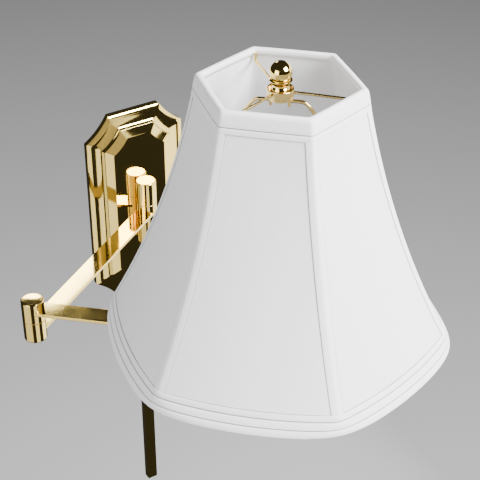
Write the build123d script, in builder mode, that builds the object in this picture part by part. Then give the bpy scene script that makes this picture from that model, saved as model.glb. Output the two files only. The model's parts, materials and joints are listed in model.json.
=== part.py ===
from build123d import *
from math import cos, radians, sin, sqrt
import os

os.makedirs("parts", exist_ok=True)

# Swing arm wall sconce, in millimetres. The wall is the plane Y = 0 and the sconce stands
# out towards -Y. The origin is the middle of the wall plate's back.

# Wall plate: a tall stepped pan with scooped corners.
PLATE_WIDTH = 111.0
PLATE_HEIGHT = 225.0
PLATE_DEPTH = 14.0
PLATE_SKIN = 1.3
PLATE_CUT = 26.6
CUT_TAPER = 0.38
SCOOP = 0.095
LIP_DEPTH = 6.0
COVE_START = 1.0
COVE_END = 16.5
COVE_TOP = 11.0
BEVEL_START = 17.2
BEVEL_END = 26.0

# Steel bar behind the plate.
BAR_WIDTH = 44.0
BAR_THICKNESS = 2.0
BAR_TAB_DEPTH = 5.8
BAR_SLOT_SPACING = 70.0
BAR_SLOT_LENGTH = 12.0
BAR_SLOT_RADIUS = 2.3
CORD_NOTCH_WIDTH = 18.0
CORD_NOTCH_HEIGHT = 30.0
LOCK_SCREW_X = 15.0
LOCK_SCREW_RADIUS = 1.5

# Cord inlet and cord cover below the plate.
INLET_WIDTH = 8.0
INLET_DEPTH = 4.4
COVER_WIDTH = 12.0
COVER_DEPTH = 9.0
COVER_WALL = 0.8
COVER_LIP = 2.0
COVER_LENGTH = 285.0
COVER_GAP = 0.3
CLIP_HEIGHT = 14.0
CLIP_THICKNESS = 0.8
CLIP_SPACING = 200.0
CLIP_HOLE_RADIUS = 1.8

# Pivots. Every barrel on the lamp has one outside diameter.
BARREL_RADIUS = 10.65
BARREL_HEIGHT = 21.8
BARREL_GAP = 0.5
WASHER_THICKNESS = 0.35
TUBE_RADIUS = 5.0
TUBE_BORE = 3.5
PRESS_CLEARANCE = 0.02
RUNNING_CLEARANCE = 0.06
POST_Y = 26.0
EAR_HEIGHT = 26.0
EAR_STEM_RADIUS = 4.0
EAR_STEM_BORE = 2.6
EAR_BORE_DEPTH = 14.0
EDGE_ROUND = 1.6
NUT_HEIGHT = 4.0
NUT_FLATS = 13.0
CAP_RADIUS = 8.6
CAP_THICKNESS = 1.6

# Arms: flat brass tubes lying on their wide side.
ARM_LENGTH = 226.0
ARM_WIDTH = 19.4
ARM_THICKNESS = 3.0
ARM_WALL = 0.55
ARM_ONE_LEVEL = 1.0
ARM_ONE_TURN = 213.6
ARM_TWO_TURN = 316.8
LEAD_RADIUS = 0.8
LEAD_SPACING = 2.4

# Lamp end: stem, harp saddle, socket and switch.
STEM_RADIUS = 4.8
STEM_BORE = 3.3
STEM_TOP = 49.0
STEM_FIT = 0.05
BASE_CAP_HEIGHT = 4.5
BASE_CAP_RADIUS = 8.0
SADDLE_THICKNESS = 1.8
SADDLE_HALF = 27.0
SADDLE_WIDTH = 12.0
PRONG_WIDTH = 5.0
PRONG_TOP = 56.0
SOCKET_CAP_RADIUS = 17.0
SOCKET_CAP_TOP = 54.0
SOCKET_SHELL_RADIUS = 16.1
SOCKET_SHELL_BOTTOM = 48.0
SOCKET_SHELL_TOP = 92.0
INSULATOR_RADIUS = 15.3
SOCKET_BODY_RADIUS = 14.6
SOCKET_BODY_BOTTOM = 50.0
SOCKET_BODY_TOP = 68.0
SCREW_SHELL_BORE = 13.25
SCREW_SHELL_WALL = 0.4
SCREW_SHELL_TOP = 94.0
SWITCH_LEVEL = 60.0
SWITCH_SHAFT_RADIUS = 2.0
SWITCH_CLEARANCE = 0.08
KNOB_RADIUS = 5.0
KNOB_START = 18.5
KNOB_END = 30.0

# Harp: a bent wire loop that carries the shade.
HARP_WIRE_RADIUS = 1.6
HARP_FOOT = 56.3
HARP_TOP = 257.5
SLEEVE_RADIUS = 4.4
SLEEVE_BORE = 3.4
SLEEVE_BOTTOM = 45.0
SLEEVE_HEIGHT = 13.0
CLIP_PLATE_RADIUS = 9.5
CLIP_PLATE_THICKNESS = 2.2
STUD_RADIUS = 3.1
STUD_TOP = 278.0

# Spider hub and finial.
HUB_RADIUS = 11.0
HUB_WALL = 1.6
HUB_BOTTOM = 261.7
HUB_FLOOR = 1.6
HUB_TOP = 268.4
SPIDER_LEVEL = 265.2
SPIDER_WIRE_RADIUS = 1.3
SPIDER_END = 62.1
FINIAL_BOTTOM = 263.6
FINIAL_BALL_CENTRE = 282.0
FINIAL_BALL_RADIUS = 9.2

# Shade: a six-sided bell. Each rib follows one circular arc, and the sides bow out
# towards the bottom edge.
SHADE_TURN = -44.6
SHADE_TOP = 274.0
SHADE_BOTTOM = 34.0
RIB_TOP_RADIUS = 69.0
RIB_BOTTOM_RADIUS = 156.3
BELL_RADIUS = 762.0
SIDE_BOW = 9.0
TOP_BOW = 0.4
PANEL_THICKNESS = 0.6
FRAME_WIRE_RADIUS = 1.2
LINING_INSET = 3.8
LINING_THICKNESS = 0.5
TRIM_THICKNESS = 0.8
TRIM_CLEAR = 0.05
TOP_TRIM_HEIGHT = 19.5
BOTTOM_TRIM_HEIGHT = 16.0
BINDING_THICKNESS = 0.6
TAPE_HALF_WIDTH = 6.5
TAPE_THICKNESS = 0.5

# Positions worked out from the dimensions above.
COS30 = cos(radians(30))
ARM_TWO_LEVEL = ARM_ONE_LEVEL + BARREL_HEIGHT
ELBOW_X = ARM_LENGTH * cos(radians(ARM_ONE_TURN))
ELBOW_Y = -POST_Y + ARM_LENGTH * sin(radians(ARM_ONE_TURN))
LAMP_X = ELBOW_X + ARM_LENGTH * cos(radians(ARM_TWO_TURN))
LAMP_Y = ELBOW_Y + ARM_LENGTH * sin(radians(ARM_TWO_TURN))
BARREL_HALF = (BARREL_HEIGHT - BARREL_GAP) / 2
EAR_START = ARM_ONE_LEVEL + BARREL_HALF + BARREL_GAP


def level(x, y, z, turn=0.0):
    """A horizontal plane at height z, its X axis turned about the vertical."""
    return Plane(origin=(x, y, z), x_dir=(cos(radians(turn)), sin(radians(turn)), 0), z_dir=(0, 0, 1))


def upright(x, y, turn):
    """A vertical plane through (x, y): local X points along the turn, local Y points up."""
    a = radians(turn)
    return Plane(origin=(x, y, 0), x_dir=(cos(a), sin(a), 0), z_dir=(sin(a), -cos(a), 0))


def lamp_level(z):
    """A horizontal plane on the lamp axis, X along the second arm."""
    return level(LAMP_X, LAMP_Y, z, ARM_TWO_TURN)


# ---------------------------------------------------------------- wall plate and its fixing


def plate_outline(inset):
    """A tall rectangle with scooped corners, drawn inside the plate's edge by inset."""
    half_w = PLATE_WIDTH / 2 - inset
    half_h = PLATE_HEIGHT / 2 - inset
    cut = PLATE_CUT - CUT_TAPER * inset
    dip = cut * (0.5 + SCOOP)
    with BuildLine() as outline:
        Line((0, half_h), (half_w - cut, half_h))
        ThreePointArc((half_w - cut, half_h), (half_w - dip, half_h - dip), (half_w, half_h - cut))
        Line((half_w, half_h - cut), (half_w, 0))
        mirror(about=Plane.YZ)
        mirror(about=Plane.XZ)
    return outline.line


def cove_section(angle):
    """Inset and height of the concave cove at an angle of its quarter ellipse."""
    inset = COVE_START + (COVE_END - COVE_START) * sin(radians(angle))
    height = LIP_DEPTH + (COVE_TOP - LIP_DEPTH) * (1 - cos(radians(angle)))
    return inset, height


def stepped_pan(skin):
    """The plate's stepped form, shrunk by a skin thickness for the hollow behind it."""
    with BuildPart() as pan:
        with BuildSketch(Plane.XZ):
            make_face(plate_outline(skin))
        extrude(amount=LIP_DEPTH - skin)
        for angle in (0, 30, 60, 90):
            inset, height = cove_section(angle)
            with BuildSketch(Plane.XZ.offset(height - skin)):
                make_face(plate_outline(inset + skin))
        loft()
        for inset, height in ((BEVEL_START, COVE_TOP), (BEVEL_END, PLATE_DEPTH)):
            with BuildSketch(Plane.XZ.offset(height - skin)):
                make_face(plate_outline(inset + skin))
        loft(ruled=True)
    return pan.part


EAR_STEM_LEVELS = [
    ARM_ONE_LEVEL + side * (BARREL_HALF + BARREL_GAP + EAR_HEIGHT / 2) for side in (-1, 1)
]

plate_form = stepped_pan(0.0)
plate_hollow = stepped_pan(PLATE_SKIN)
with BuildPart() as wall_plate:
    add(plate_form)
    add(plate_hollow, mode=Mode.SUBTRACT)
    with BuildSketch(Plane.XZ.offset(PLATE_DEPTH)):
        with Locations(*[(0, z) for z in EAR_STEM_LEVELS]):
            Circle(EAR_STEM_RADIUS + STEM_FIT)
    extrude(amount=-2 * PLATE_SKIN, mode=Mode.SUBTRACT)
    with BuildSketch(Plane.XY.offset(-PLATE_HEIGHT / 2)):
        with Locations((0, -INLET_DEPTH / 2)):
            Rectangle(INLET_WIDTH + 2, INLET_DEPTH)
        with Locations((-LOCK_SCREW_X, -LIP_DEPTH / 2), (LOCK_SCREW_X, -LIP_DEPTH / 2)):
            Circle(LOCK_SCREW_RADIUS + STEM_FIT)
    extrude(amount=2 * PLATE_SKIN, mode=Mode.SUBTRACT)
wall_plate.part.label = "wall_plate"
export_step(wall_plate.part, "parts/wall_plate.step")

BAR_HALF = PLATE_HEIGHT / 2 - PLATE_SKIN
with BuildPart() as mounting_bar:
    with BuildSketch(Plane.XZ):
        Rectangle(BAR_WIDTH, 2 * BAR_HALF)
        with Locations((0, -BAR_HALF + CORD_NOTCH_HEIGHT / 2)):
            Rectangle(CORD_NOTCH_WIDTH, CORD_NOTCH_HEIGHT, mode=Mode.SUBTRACT)
        with Locations((0, -BAR_SLOT_SPACING / 2), (0, BAR_SLOT_SPACING / 2)):
            SlotOverall(BAR_SLOT_LENGTH, 2 * BAR_SLOT_RADIUS, rotation=90, mode=Mode.SUBTRACT)
    extrude(amount=BAR_THICKNESS)
    with BuildSketch(Plane.XZ):
        with Locations((0, BAR_HALF - BAR_THICKNESS / 2)):
            Rectangle(BAR_WIDTH, BAR_THICKNESS)
        tab_width = (BAR_WIDTH - CORD_NOTCH_WIDTH) / 2
        tab_x = (BAR_WIDTH + CORD_NOTCH_WIDTH) / 4
        with Locations((-tab_x, BAR_THICKNESS / 2 - BAR_HALF), (tab_x, BAR_THICKNESS / 2 - BAR_HALF)):
            Rectangle(tab_width, BAR_THICKNESS)
    extrude(amount=LIP_DEPTH - PLATE_SKIN)
    with BuildSketch(Plane.XY.offset(-BAR_HALF)):
        with Locations((-LOCK_SCREW_X, -LIP_DEPTH / 2), (LOCK_SCREW_X, -LIP_DEPTH / 2)):
            Circle(LOCK_SCREW_RADIUS + PRESS_CLEARANCE)
    extrude(amount=BAR_THICKNESS, mode=Mode.SUBTRACT)
mounting_bar.part.label = "mounting_bar"
export_step(mounting_bar.part, "parts/mounting_bar.step")

with BuildPart() as lock_screws:
    with BuildSketch(Plane.XY.offset(-PLATE_HEIGHT / 2)):
        with Locations((-LOCK_SCREW_X, -LIP_DEPTH / 2), (LOCK_SCREW_X, -LIP_DEPTH / 2)):
            Circle(LOCK_SCREW_RADIUS)
    extrude(amount=PLATE_SKIN + BAR_THICKNESS)
    with BuildSketch(Plane.XY.offset(-PLATE_HEIGHT / 2)):
        with Locations((-LOCK_SCREW_X, -LIP_DEPTH / 2), (LOCK_SCREW_X, -LIP_DEPTH / 2)):
            RegularPolygon(LOCK_SCREW_RADIUS / 2, 6)
    extrude(amount=LOCK_SCREW_RADIUS, mode=Mode.SUBTRACT)
lock_screws.part.label = "lock_screws"
export_step(lock_screws.part, "parts/lock_screws.step")

# A soft bushing lines the notch where the supply cord enters the plate from below.
with BuildPart() as cord_inlet_bushing:
    with BuildSketch(Plane.XY.offset(-PLATE_HEIGHT / 2 + COVER_GAP)):
        with Locations((0, -INLET_DEPTH / 2)):
            Rectangle(INLET_WIDTH + 1.8, INLET_DEPTH - 0.2)
        with Locations((0, -INLET_DEPTH / 2)):
            Circle(INLET_DEPTH / 2 - 0.6, mode=Mode.SUBTRACT)
    extrude(amount=8)
    fillet(cord_inlet_bushing.edges().filter_by(Axis.Z).group_by(SortBy.LENGTH)[-1].filter_by(GeomType.LINE), 0.5)
cord_inlet_bushing.part.label = "cord_inlet_bushing"
export_step(cord_inlet_bushing.part, "parts/cord_inlet_bushing.step")

# ---------------------------------------------------------------- cord cover on the wall

COVER_TOP = -PLATE_HEIGHT / 2 - COVER_GAP
with BuildPart() as cord_cover:
    with BuildSketch(Plane.XY.offset(COVER_TOP)):
        with Locations((0, -COVER_DEPTH / 2)):
            RectangleRounded(COVER_WIDTH, COVER_DEPTH, COVER_WALL)
            Rectangle(COVER_WIDTH - 2 * COVER_WALL, COVER_DEPTH - 2 * COVER_WALL, mode=Mode.SUBTRACT)
        with Locations((0, -COVER_WALL / 2)):
            Rectangle(COVER_WIDTH - 2 * COVER_LIP, 2 * COVER_WALL, mode=Mode.SUBTRACT)
    extrude(amount=-COVER_LENGTH)
cord_cover.part.label = "cord_cover"
export_step(cord_cover.part, "parts/cord_cover.step")

CLIP_LEVELS = [COVER_TOP - COVER_LENGTH / 2 + side * CLIP_SPACING / 2 for side in (-1, 1)]
with BuildPart() as cover_clips:
    for clip_z in CLIP_LEVELS:
        with BuildSketch(Plane.XZ.offset(COVER_WALL + PRESS_CLEARANCE)):
            with Locations((0, clip_z)):
                Rectangle(COVER_WIDTH - 2 * COVER_WALL - 0.1, CLIP_HEIGHT)
                Circle(CLIP_HOLE_RADIUS, mode=Mode.SUBTRACT)
        extrude(amount=CLIP_THICKNESS)
cover_clips.part.label = "cover_clips"
export_step(cover_clips.part, "parts/cover_clips.step")

# ---------------------------------------------------------------- wall pivot


def pivot_ear(side):
    """A fixed half of the wall pivot: side is 1 above the moving barrel and -1 below it."""
    start = ARM_ONE_LEVEL + side * (BARREL_HALF + BARREL_GAP)
    with BuildPart() as ear:
        with BuildSketch(level(0, -POST_Y, start)):
            Circle(BARREL_RADIUS)
        extrude(amount=side * EAR_HEIGHT)
        fillet(ear.edges().sort_by(Axis.Z)[-1 if side > 0 else 0], EDGE_ROUND)
        with BuildSketch(Plane.XZ.offset(PLATE_DEPTH - PLATE_SKIN - NUT_HEIGHT - 2)):
            with Locations((0, start + side * EAR_HEIGHT / 2)):
                Circle(EAR_STEM_RADIUS)
        extrude(amount=POST_Y - PLATE_DEPTH + NUT_HEIGHT)
        with BuildSketch(Plane.XZ.offset(PLATE_DEPTH - PLATE_SKIN - NUT_HEIGHT - 2)):
            with Locations((0, start + side * EAR_HEIGHT / 2)):
                Circle(EAR_STEM_BORE)
        extrude(amount=POST_Y - PLATE_DEPTH + NUT_HEIGHT, mode=Mode.SUBTRACT)
        with BuildSketch(level(0, -POST_Y, start)):
            Circle(TUBE_RADIUS + PRESS_CLEARANCE)
        extrude(amount=side * EAR_BORE_DEPTH, mode=Mode.SUBTRACT)
    return ear


upper_pivot_ear = pivot_ear(1)
upper_pivot_ear.part.label = "upper_pivot_ear"
export_step(upper_pivot_ear.part, "parts/upper_pivot_ear.step")

lower_pivot_ear = pivot_ear(-1)
lower_pivot_ear.part.label = "lower_pivot_ear"
export_step(lower_pivot_ear.part, "parts/lower_pivot_ear.step")

with BuildPart() as ear_nuts:
    with BuildSketch(Plane.XZ.offset(PLATE_DEPTH - PLATE_SKIN - NUT_HEIGHT)):
        with Locations(*[(0, z) for z in EAR_STEM_LEVELS]):
            RegularPolygon(NUT_FLATS / 2, 6, major_radius=False)
            Circle(EAR_STEM_RADIUS + PRESS_CLEARANCE, mode=Mode.SUBTRACT)
    extrude(amount=NUT_HEIGHT)
ear_nuts.part.label = "ear_nuts"
export_step(ear_nuts.part, "parts/ear_nuts.step")

WALL_TUBE_HALF = BARREL_HALF + BARREL_GAP + EAR_BORE_DEPTH - 1
with BuildPart() as wall_pivot_tube:
    with BuildSketch(level(0, -POST_Y, ARM_ONE_LEVEL - WALL_TUBE_HALF)):
        Circle(TUBE_RADIUS)
        Circle(TUBE_BORE, mode=Mode.SUBTRACT)
    extrude(amount=2 * WALL_TUBE_HALF)
wall_pivot_tube.part.label = "wall_pivot_tube"
export_step(wall_pivot_tube.part, "parts/wall_pivot_tube.step")

# ---------------------------------------------------------------- barrels and arms


def barrel(x, y, z, turn, bore, rounded_end=0):
    """A pivot barrel round (x, y), centred on z, with a slot for the leads from its arm."""
    with BuildPart() as body:
        with BuildSketch(level(x, y, z - BARREL_HALF)):
            Circle(BARREL_RADIUS)
            Circle(bore, mode=Mode.SUBTRACT)
        extrude(amount=2 * BARREL_HALF)
        if rounded_end:
            ends = body.edges().filter_by(GeomType.CIRCLE).group_by(Axis.Z)
            rim = ends[-1 if rounded_end > 0 else 0].sort_by(SortBy.RADIUS)[-1]
            fillet(rim, EDGE_ROUND)
        with BuildSketch(level(x, y, z - LEAD_RADIUS, turn)):
            with Locations((BARREL_RADIUS, 0)):
                Rectangle(2 * BARREL_RADIUS, 2 * LEAD_SPACING)
        extrude(amount=2 * LEAD_RADIUS, mode=Mode.SUBTRACT)
    return body


def arm_tube(x, y, z, turn):
    """A flat tube between two barrel axes, its ends saddle cut to the barrels."""
    with BuildPart() as tube:
        with BuildSketch(level(x, y, z - ARM_THICKNESS / 2, turn)):
            with Locations((ARM_LENGTH / 2, 0)):
                Rectangle(ARM_LENGTH, ARM_WIDTH)
        extrude(amount=ARM_THICKNESS)
        fillet(tube.edges().filter_by(lambda edge: edge.length > ARM_LENGTH - 1), 0.5)
        with BuildSketch(level(x, y, z - ARM_THICKNESS / 2 + ARM_WALL, turn)):
            with Locations((ARM_LENGTH / 2, 0)):
                Rectangle(ARM_LENGTH, ARM_WIDTH - 2 * ARM_WALL)
        extrude(amount=ARM_THICKNESS - 2 * ARM_WALL, mode=Mode.SUBTRACT)
        with BuildSketch(level(x, y, z - ARM_THICKNESS, turn)):
            with Locations((0, 0), (ARM_LENGTH, 0)):
                Circle(BARREL_RADIUS)
        extrude(amount=2 * ARM_THICKNESS, mode=Mode.SUBTRACT)
    return tube


def arm_leads(x, y, z, turn):
    """Two insulated leads side by side along the inside of an arm."""
    start = TUBE_RADIUS + 1.5
    a = radians(turn)
    face = Plane(
        origin=(x + start * cos(a), y + start * sin(a), z),
        x_dir=(-sin(a), cos(a), 0),
        z_dir=(cos(a), sin(a), 0),
    )
    with BuildPart() as leads:
        with BuildSketch(face):
            with Locations((-LEAD_SPACING / 2, 0), (LEAD_SPACING / 2, 0)):
                Circle(LEAD_RADIUS - PRESS_CLEARANCE)
        extrude(amount=ARM_LENGTH - 2 * start)
    return leads


arm_one_wall_barrel = barrel(
    0, -POST_Y, ARM_ONE_LEVEL, ARM_ONE_TURN, TUBE_RADIUS + RUNNING_CLEARANCE
)
arm_one_wall_barrel.part.label = "arm_one_wall_barrel"
export_step(arm_one_wall_barrel.part, "parts/arm_one_wall_barrel.step")

# Thin washers ride on the barrel's two ends, between it and the fixed ears.
with BuildPart() as wall_pivot_washers:
    for face_z in (ARM_ONE_LEVEL - BARREL_HALF - WASHER_THICKNESS, ARM_ONE_LEVEL + BARREL_HALF):
        with BuildSketch(level(0, -POST_Y, face_z)):
            Circle(BARREL_RADIUS - 0.6)
            Circle(TUBE_RADIUS + RUNNING_CLEARANCE, mode=Mode.SUBTRACT)
        extrude(amount=WASHER_THICKNESS)
wall_pivot_washers.part.label = "wall_pivot_washers"
export_step(wall_pivot_washers.part, "parts/wall_pivot_washers.step")

arm_one_tube = arm_tube(0, -POST_Y, ARM_ONE_LEVEL, ARM_ONE_TURN)
arm_one_tube.part.label = "arm_one_tube"
export_step(arm_one_tube.part, "parts/arm_one_tube.step")

arm_one_leads = arm_leads(0, -POST_Y, ARM_ONE_LEVEL, ARM_ONE_TURN)
arm_one_leads.part.label = "arm_one_leads"
export_step(arm_one_leads.part, "parts/arm_one_leads.step")

elbow_lower_barrel = barrel(
    ELBOW_X, ELBOW_Y, ARM_ONE_LEVEL, ARM_ONE_TURN + 180, TUBE_RADIUS + PRESS_CLEARANCE, -1
)
elbow_lower_barrel.part.label = "elbow_lower_barrel"
export_step(elbow_lower_barrel.part, "parts/elbow_lower_barrel.step")

with BuildPart() as elbow_washer:
    with BuildSketch(level(ELBOW_X, ELBOW_Y, ARM_ONE_LEVEL + BARREL_HALF)):
        Circle(BARREL_RADIUS - 0.6)
        Circle(TUBE_RADIUS + PRESS_CLEARANCE, mode=Mode.SUBTRACT)
    extrude(amount=WASHER_THICKNESS)
elbow_washer.part.label = "elbow_washer"
export_step(elbow_washer.part, "parts/elbow_washer.step")

ELBOW_NUT_SEAT = ARM_TWO_LEVEL + 2.5
with BuildPart() as elbow_tube:
    with BuildSketch(level(ELBOW_X, ELBOW_Y, ARM_ONE_LEVEL - BARREL_HALF + CAP_THICKNESS)):
        Circle(TUBE_RADIUS)
        Circle(TUBE_BORE, mode=Mode.SUBTRACT)
    extrude(amount=ELBOW_NUT_SEAT + 3.8 - (ARM_ONE_LEVEL - BARREL_HALF + CAP_THICKNESS))
elbow_tube.part.label = "elbow_tube"
export_step(elbow_tube.part, "parts/elbow_tube.step")

with BuildPart() as elbow_nut:
    with BuildSketch(level(ELBOW_X, ELBOW_Y, ELBOW_NUT_SEAT + 0.15)):
        RegularPolygon(NUT_FLATS / 2, 6, major_radius=False)
        Circle(TUBE_RADIUS + PRESS_CLEARANCE, mode=Mode.SUBTRACT)
    extrude(amount=3.4)
elbow_nut.part.label = "elbow_nut"
export_step(elbow_nut.part, "parts/elbow_nut.step")

with BuildPart() as elbow_base_plug:
    with BuildSketch(level(ELBOW_X, ELBOW_Y, ARM_ONE_LEVEL - BARREL_HALF)):
        Circle(TUBE_RADIUS)
    extrude(amount=CAP_THICKNESS - 0.1)
elbow_base_plug.part.label = "elbow_base_plug"
export_step(elbow_base_plug.part, "parts/elbow_base_plug.step")

plain_upper_barrel = barrel(
    ELBOW_X, ELBOW_Y, ARM_TWO_LEVEL, ARM_TWO_TURN, TUBE_RADIUS + RUNNING_CLEARANCE, 1
)
with BuildPart() as elbow_upper_barrel:
    add(plain_upper_barrel.part)
    with BuildSketch(level(ELBOW_X, ELBOW_Y, ELBOW_NUT_SEAT)):
        Circle(CAP_RADIUS)
    extrude(amount=BARREL_HEIGHT, mode=Mode.SUBTRACT)
elbow_upper_barrel.part.label = "elbow_upper_barrel"
export_step(elbow_upper_barrel.part, "parts/elbow_upper_barrel.step")

with BuildPart() as elbow_cap:
    with BuildSketch(level(ELBOW_X, ELBOW_Y, ARM_TWO_LEVEL + BARREL_HALF - CAP_THICKNESS)):
        Circle(CAP_RADIUS - PRESS_CLEARANCE)
    extrude(amount=CAP_THICKNESS)
    fillet(elbow_cap.edges().sort_by(Axis.Z)[-1], 0.4)
elbow_cap.part.label = "elbow_cap"
export_step(elbow_cap.part, "parts/elbow_cap.step")

arm_two_tube = arm_tube(ELBOW_X, ELBOW_Y, ARM_TWO_LEVEL, ARM_TWO_TURN)
arm_two_tube.part.label = "arm_two_tube"
export_step(arm_two_tube.part, "parts/arm_two_tube.step")

arm_two_leads = arm_leads(ELBOW_X, ELBOW_Y, ARM_TWO_LEVEL, ARM_TWO_TURN)
arm_two_leads.part.label = "arm_two_leads"
export_step(arm_two_leads.part, "parts/arm_two_leads.step")

lamp_barrel = barrel(LAMP_X, LAMP_Y, ARM_TWO_LEVEL, ARM_TWO_TURN + 180, STEM_RADIUS + STEM_FIT)
lamp_barrel.part.label = "lamp_barrel"
export_step(lamp_barrel.part, "parts/lamp_barrel.step")

# ---------------------------------------------------------------- stem, saddle and harp

LAMP_BARREL_BOTTOM = ARM_TWO_LEVEL - BARREL_HALF
LAMP_BARREL_TOP = ARM_TWO_LEVEL + BARREL_HALF
with BuildPart() as lamp_base_cap:
    with BuildSketch(lamp_level(LAMP_BARREL_BOTTOM)):
        Circle(BASE_CAP_RADIUS)
    extrude(amount=-BASE_CAP_HEIGHT)
    fillet(lamp_base_cap.edges().sort_by(Axis.Z)[0], 3.0)
    with BuildSketch(lamp_level(LAMP_BARREL_BOTTOM)):
        Circle(STEM_RADIUS + PRESS_CLEARANCE)
    extrude(amount=-BASE_CAP_HEIGHT / 2, mode=Mode.SUBTRACT)
lamp_base_cap.part.label = "lamp_base_cap"
export_step(lamp_base_cap.part, "parts/lamp_base_cap.step")

STEM_BOTTOM = LAMP_BARREL_BOTTOM - BASE_CAP_HEIGHT / 2 + 0.1
with BuildPart() as lamp_stem:
    with BuildSketch(lamp_level(STEM_BOTTOM)):
        Circle(STEM_RADIUS)
        Circle(STEM_BORE, mode=Mode.SUBTRACT)
    extrude(amount=STEM_TOP - STEM_BOTTOM)
lamp_stem.part.label = "lamp_stem"
export_step(lamp_stem.part, "parts/lamp_stem.step")

SADDLE_BOTTOM = LAMP_BARREL_TOP
SADDLE_TOP = SADDLE_BOTTOM + SADDLE_THICKNESS
with BuildPart() as harp_saddle:
    with BuildSketch(lamp_level(SADDLE_BOTTOM)):
        Rectangle(2 * SADDLE_HALF + SADDLE_THICKNESS, SADDLE_WIDTH)
        Circle(STEM_RADIUS + STEM_FIT, mode=Mode.SUBTRACT)
    extrude(amount=SADDLE_THICKNESS)
    with BuildSketch(lamp_level(SADDLE_BOTTOM)):
        with Locations((-SADDLE_HALF, 0), (SADDLE_HALF, 0)):
            Rectangle(SADDLE_THICKNESS, PRONG_WIDTH)
    extrude(amount=PRONG_TOP - SADDLE_BOTTOM)
harp_saddle.part.label = "harp_saddle"
export_step(harp_saddle.part, "parts/harp_saddle.step")

with BuildPart() as harp_wire:
    with BuildLine(upright(LAMP_X, LAMP_Y, ARM_TWO_TURN)) as harp_path:
        FilletPolyline(
            (-SADDLE_HALF, HARP_FOOT),
            (-SADDLE_HALF, 80),
            (-50, 124),
            (-50, 212),
            (-24, HARP_TOP),
            (24, HARP_TOP),
            (50, 212),
            (50, 124),
            (SADDLE_HALF, 80),
            (SADDLE_HALF, HARP_FOOT),
            radius=[14, 40, 60, 21, 21, 60, 40, 14],
        )
    with BuildSketch(lamp_level(HARP_FOOT)):
        with Locations((-SADDLE_HALF, 0)):
            Circle(HARP_WIRE_RADIUS)
    sweep(path=harp_path.line)
harp_wire.part.label = "harp_wire"
export_step(harp_wire.part, "parts/harp_wire.step")

# Sleeves lock the harp's feet onto the saddle's prongs and slide up to free them.
for sleeve_name, sleeve_x in (("harp_sleeve_left", -SADDLE_HALF), ("harp_sleeve_right", SADDLE_HALF)):
    with BuildPart() as sleeve:
        with BuildSketch(lamp_level(SLEEVE_BOTTOM)):
            with Locations((sleeve_x, 0)):
                Circle(SLEEVE_RADIUS)
                Circle(SLEEVE_BORE, mode=Mode.SUBTRACT)
        extrude(amount=SLEEVE_HEIGHT)
        fillet(sleeve.edges().filter_by(GeomType.CIRCLE).group_by(SortBy.RADIUS)[-1], 0.5)
    sleeve.part.label = sleeve_name
    export_step(sleeve.part, f"parts/{sleeve_name}.step")

# The clip sits astride the harp's crossbar, with two short legs down past the wire.
CLIP_PLATE_BOTTOM = HARP_TOP + HARP_WIRE_RADIUS
with BuildPart() as harp_clip:
    with BuildSketch(lamp_level(CLIP_PLATE_BOTTOM)):
        Circle(CLIP_PLATE_RADIUS)
    extrude(amount=CLIP_PLATE_THICKNESS)
    with BuildSketch(lamp_level(CLIP_PLATE_BOTTOM + 0.5)):
        for leg_x in (-7.5, 7.5):
            with Locations((leg_x, 2.6), (leg_x, -2.6)):
                Rectangle(2.4, 1.6)
    extrude(amount=-6)
harp_clip.part.label = "harp_clip"
export_step(harp_clip.part, "parts/harp_clip.step")

CLIP_PLATE_TOP = CLIP_PLATE_BOTTOM + CLIP_PLATE_THICKNESS
with BuildPart() as harp_stud:
    with BuildSketch(lamp_level(CLIP_PLATE_TOP)):
        Circle(STUD_RADIUS)
    extrude(amount=STUD_TOP - CLIP_PLATE_TOP)
    chamfer(harp_stud.edges().sort_by(Axis.Z)[-1], 0.6)
harp_stud.part.label = "harp_stud"
export_step(harp_stud.part, "parts/harp_stud.step")

# ---------------------------------------------------------------- socket and switch

with BuildPart() as socket_cap:
    with BuildSketch(upright(LAMP_X, LAMP_Y, ARM_TWO_TURN)):
        with BuildLine():
            cap_floor = Line((STEM_RADIUS + PRESS_CLEARANCE, SADDLE_TOP), (9, SADDLE_TOP))
            cap_bowl = RadiusArc(cap_floor @ 1, (SOCKET_CAP_RADIUS, SOCKET_CAP_TOP - 7), 11, short_sagitta=True)
            cap_wall = Line(cap_bowl @ 1, (SOCKET_CAP_RADIUS, SOCKET_CAP_TOP))
            cap_rim = Line(cap_wall @ 1, (SOCKET_CAP_RADIUS - 0.8, SOCKET_CAP_TOP))
            cap_inner = Line(cap_rim @ 1, (SOCKET_CAP_RADIUS - 0.8, SOCKET_CAP_TOP - 7))
            cap_inside = RadiusArc(cap_inner @ 1, (8.6, SADDLE_TOP + 0.9), -10, short_sagitta=True)
            cap_seat = Line(cap_inside @ 1, (STEM_RADIUS + PRESS_CLEARANCE, SADDLE_TOP + 0.9))
            Line(cap_seat @ 1, cap_floor @ 0)
        make_face()
    revolve(axis=Axis((LAMP_X, LAMP_Y, 0), (0, 0, 1)))
socket_cap.part.label = "socket_cap"
export_step(socket_cap.part, "parts/socket_cap.step")

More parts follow.
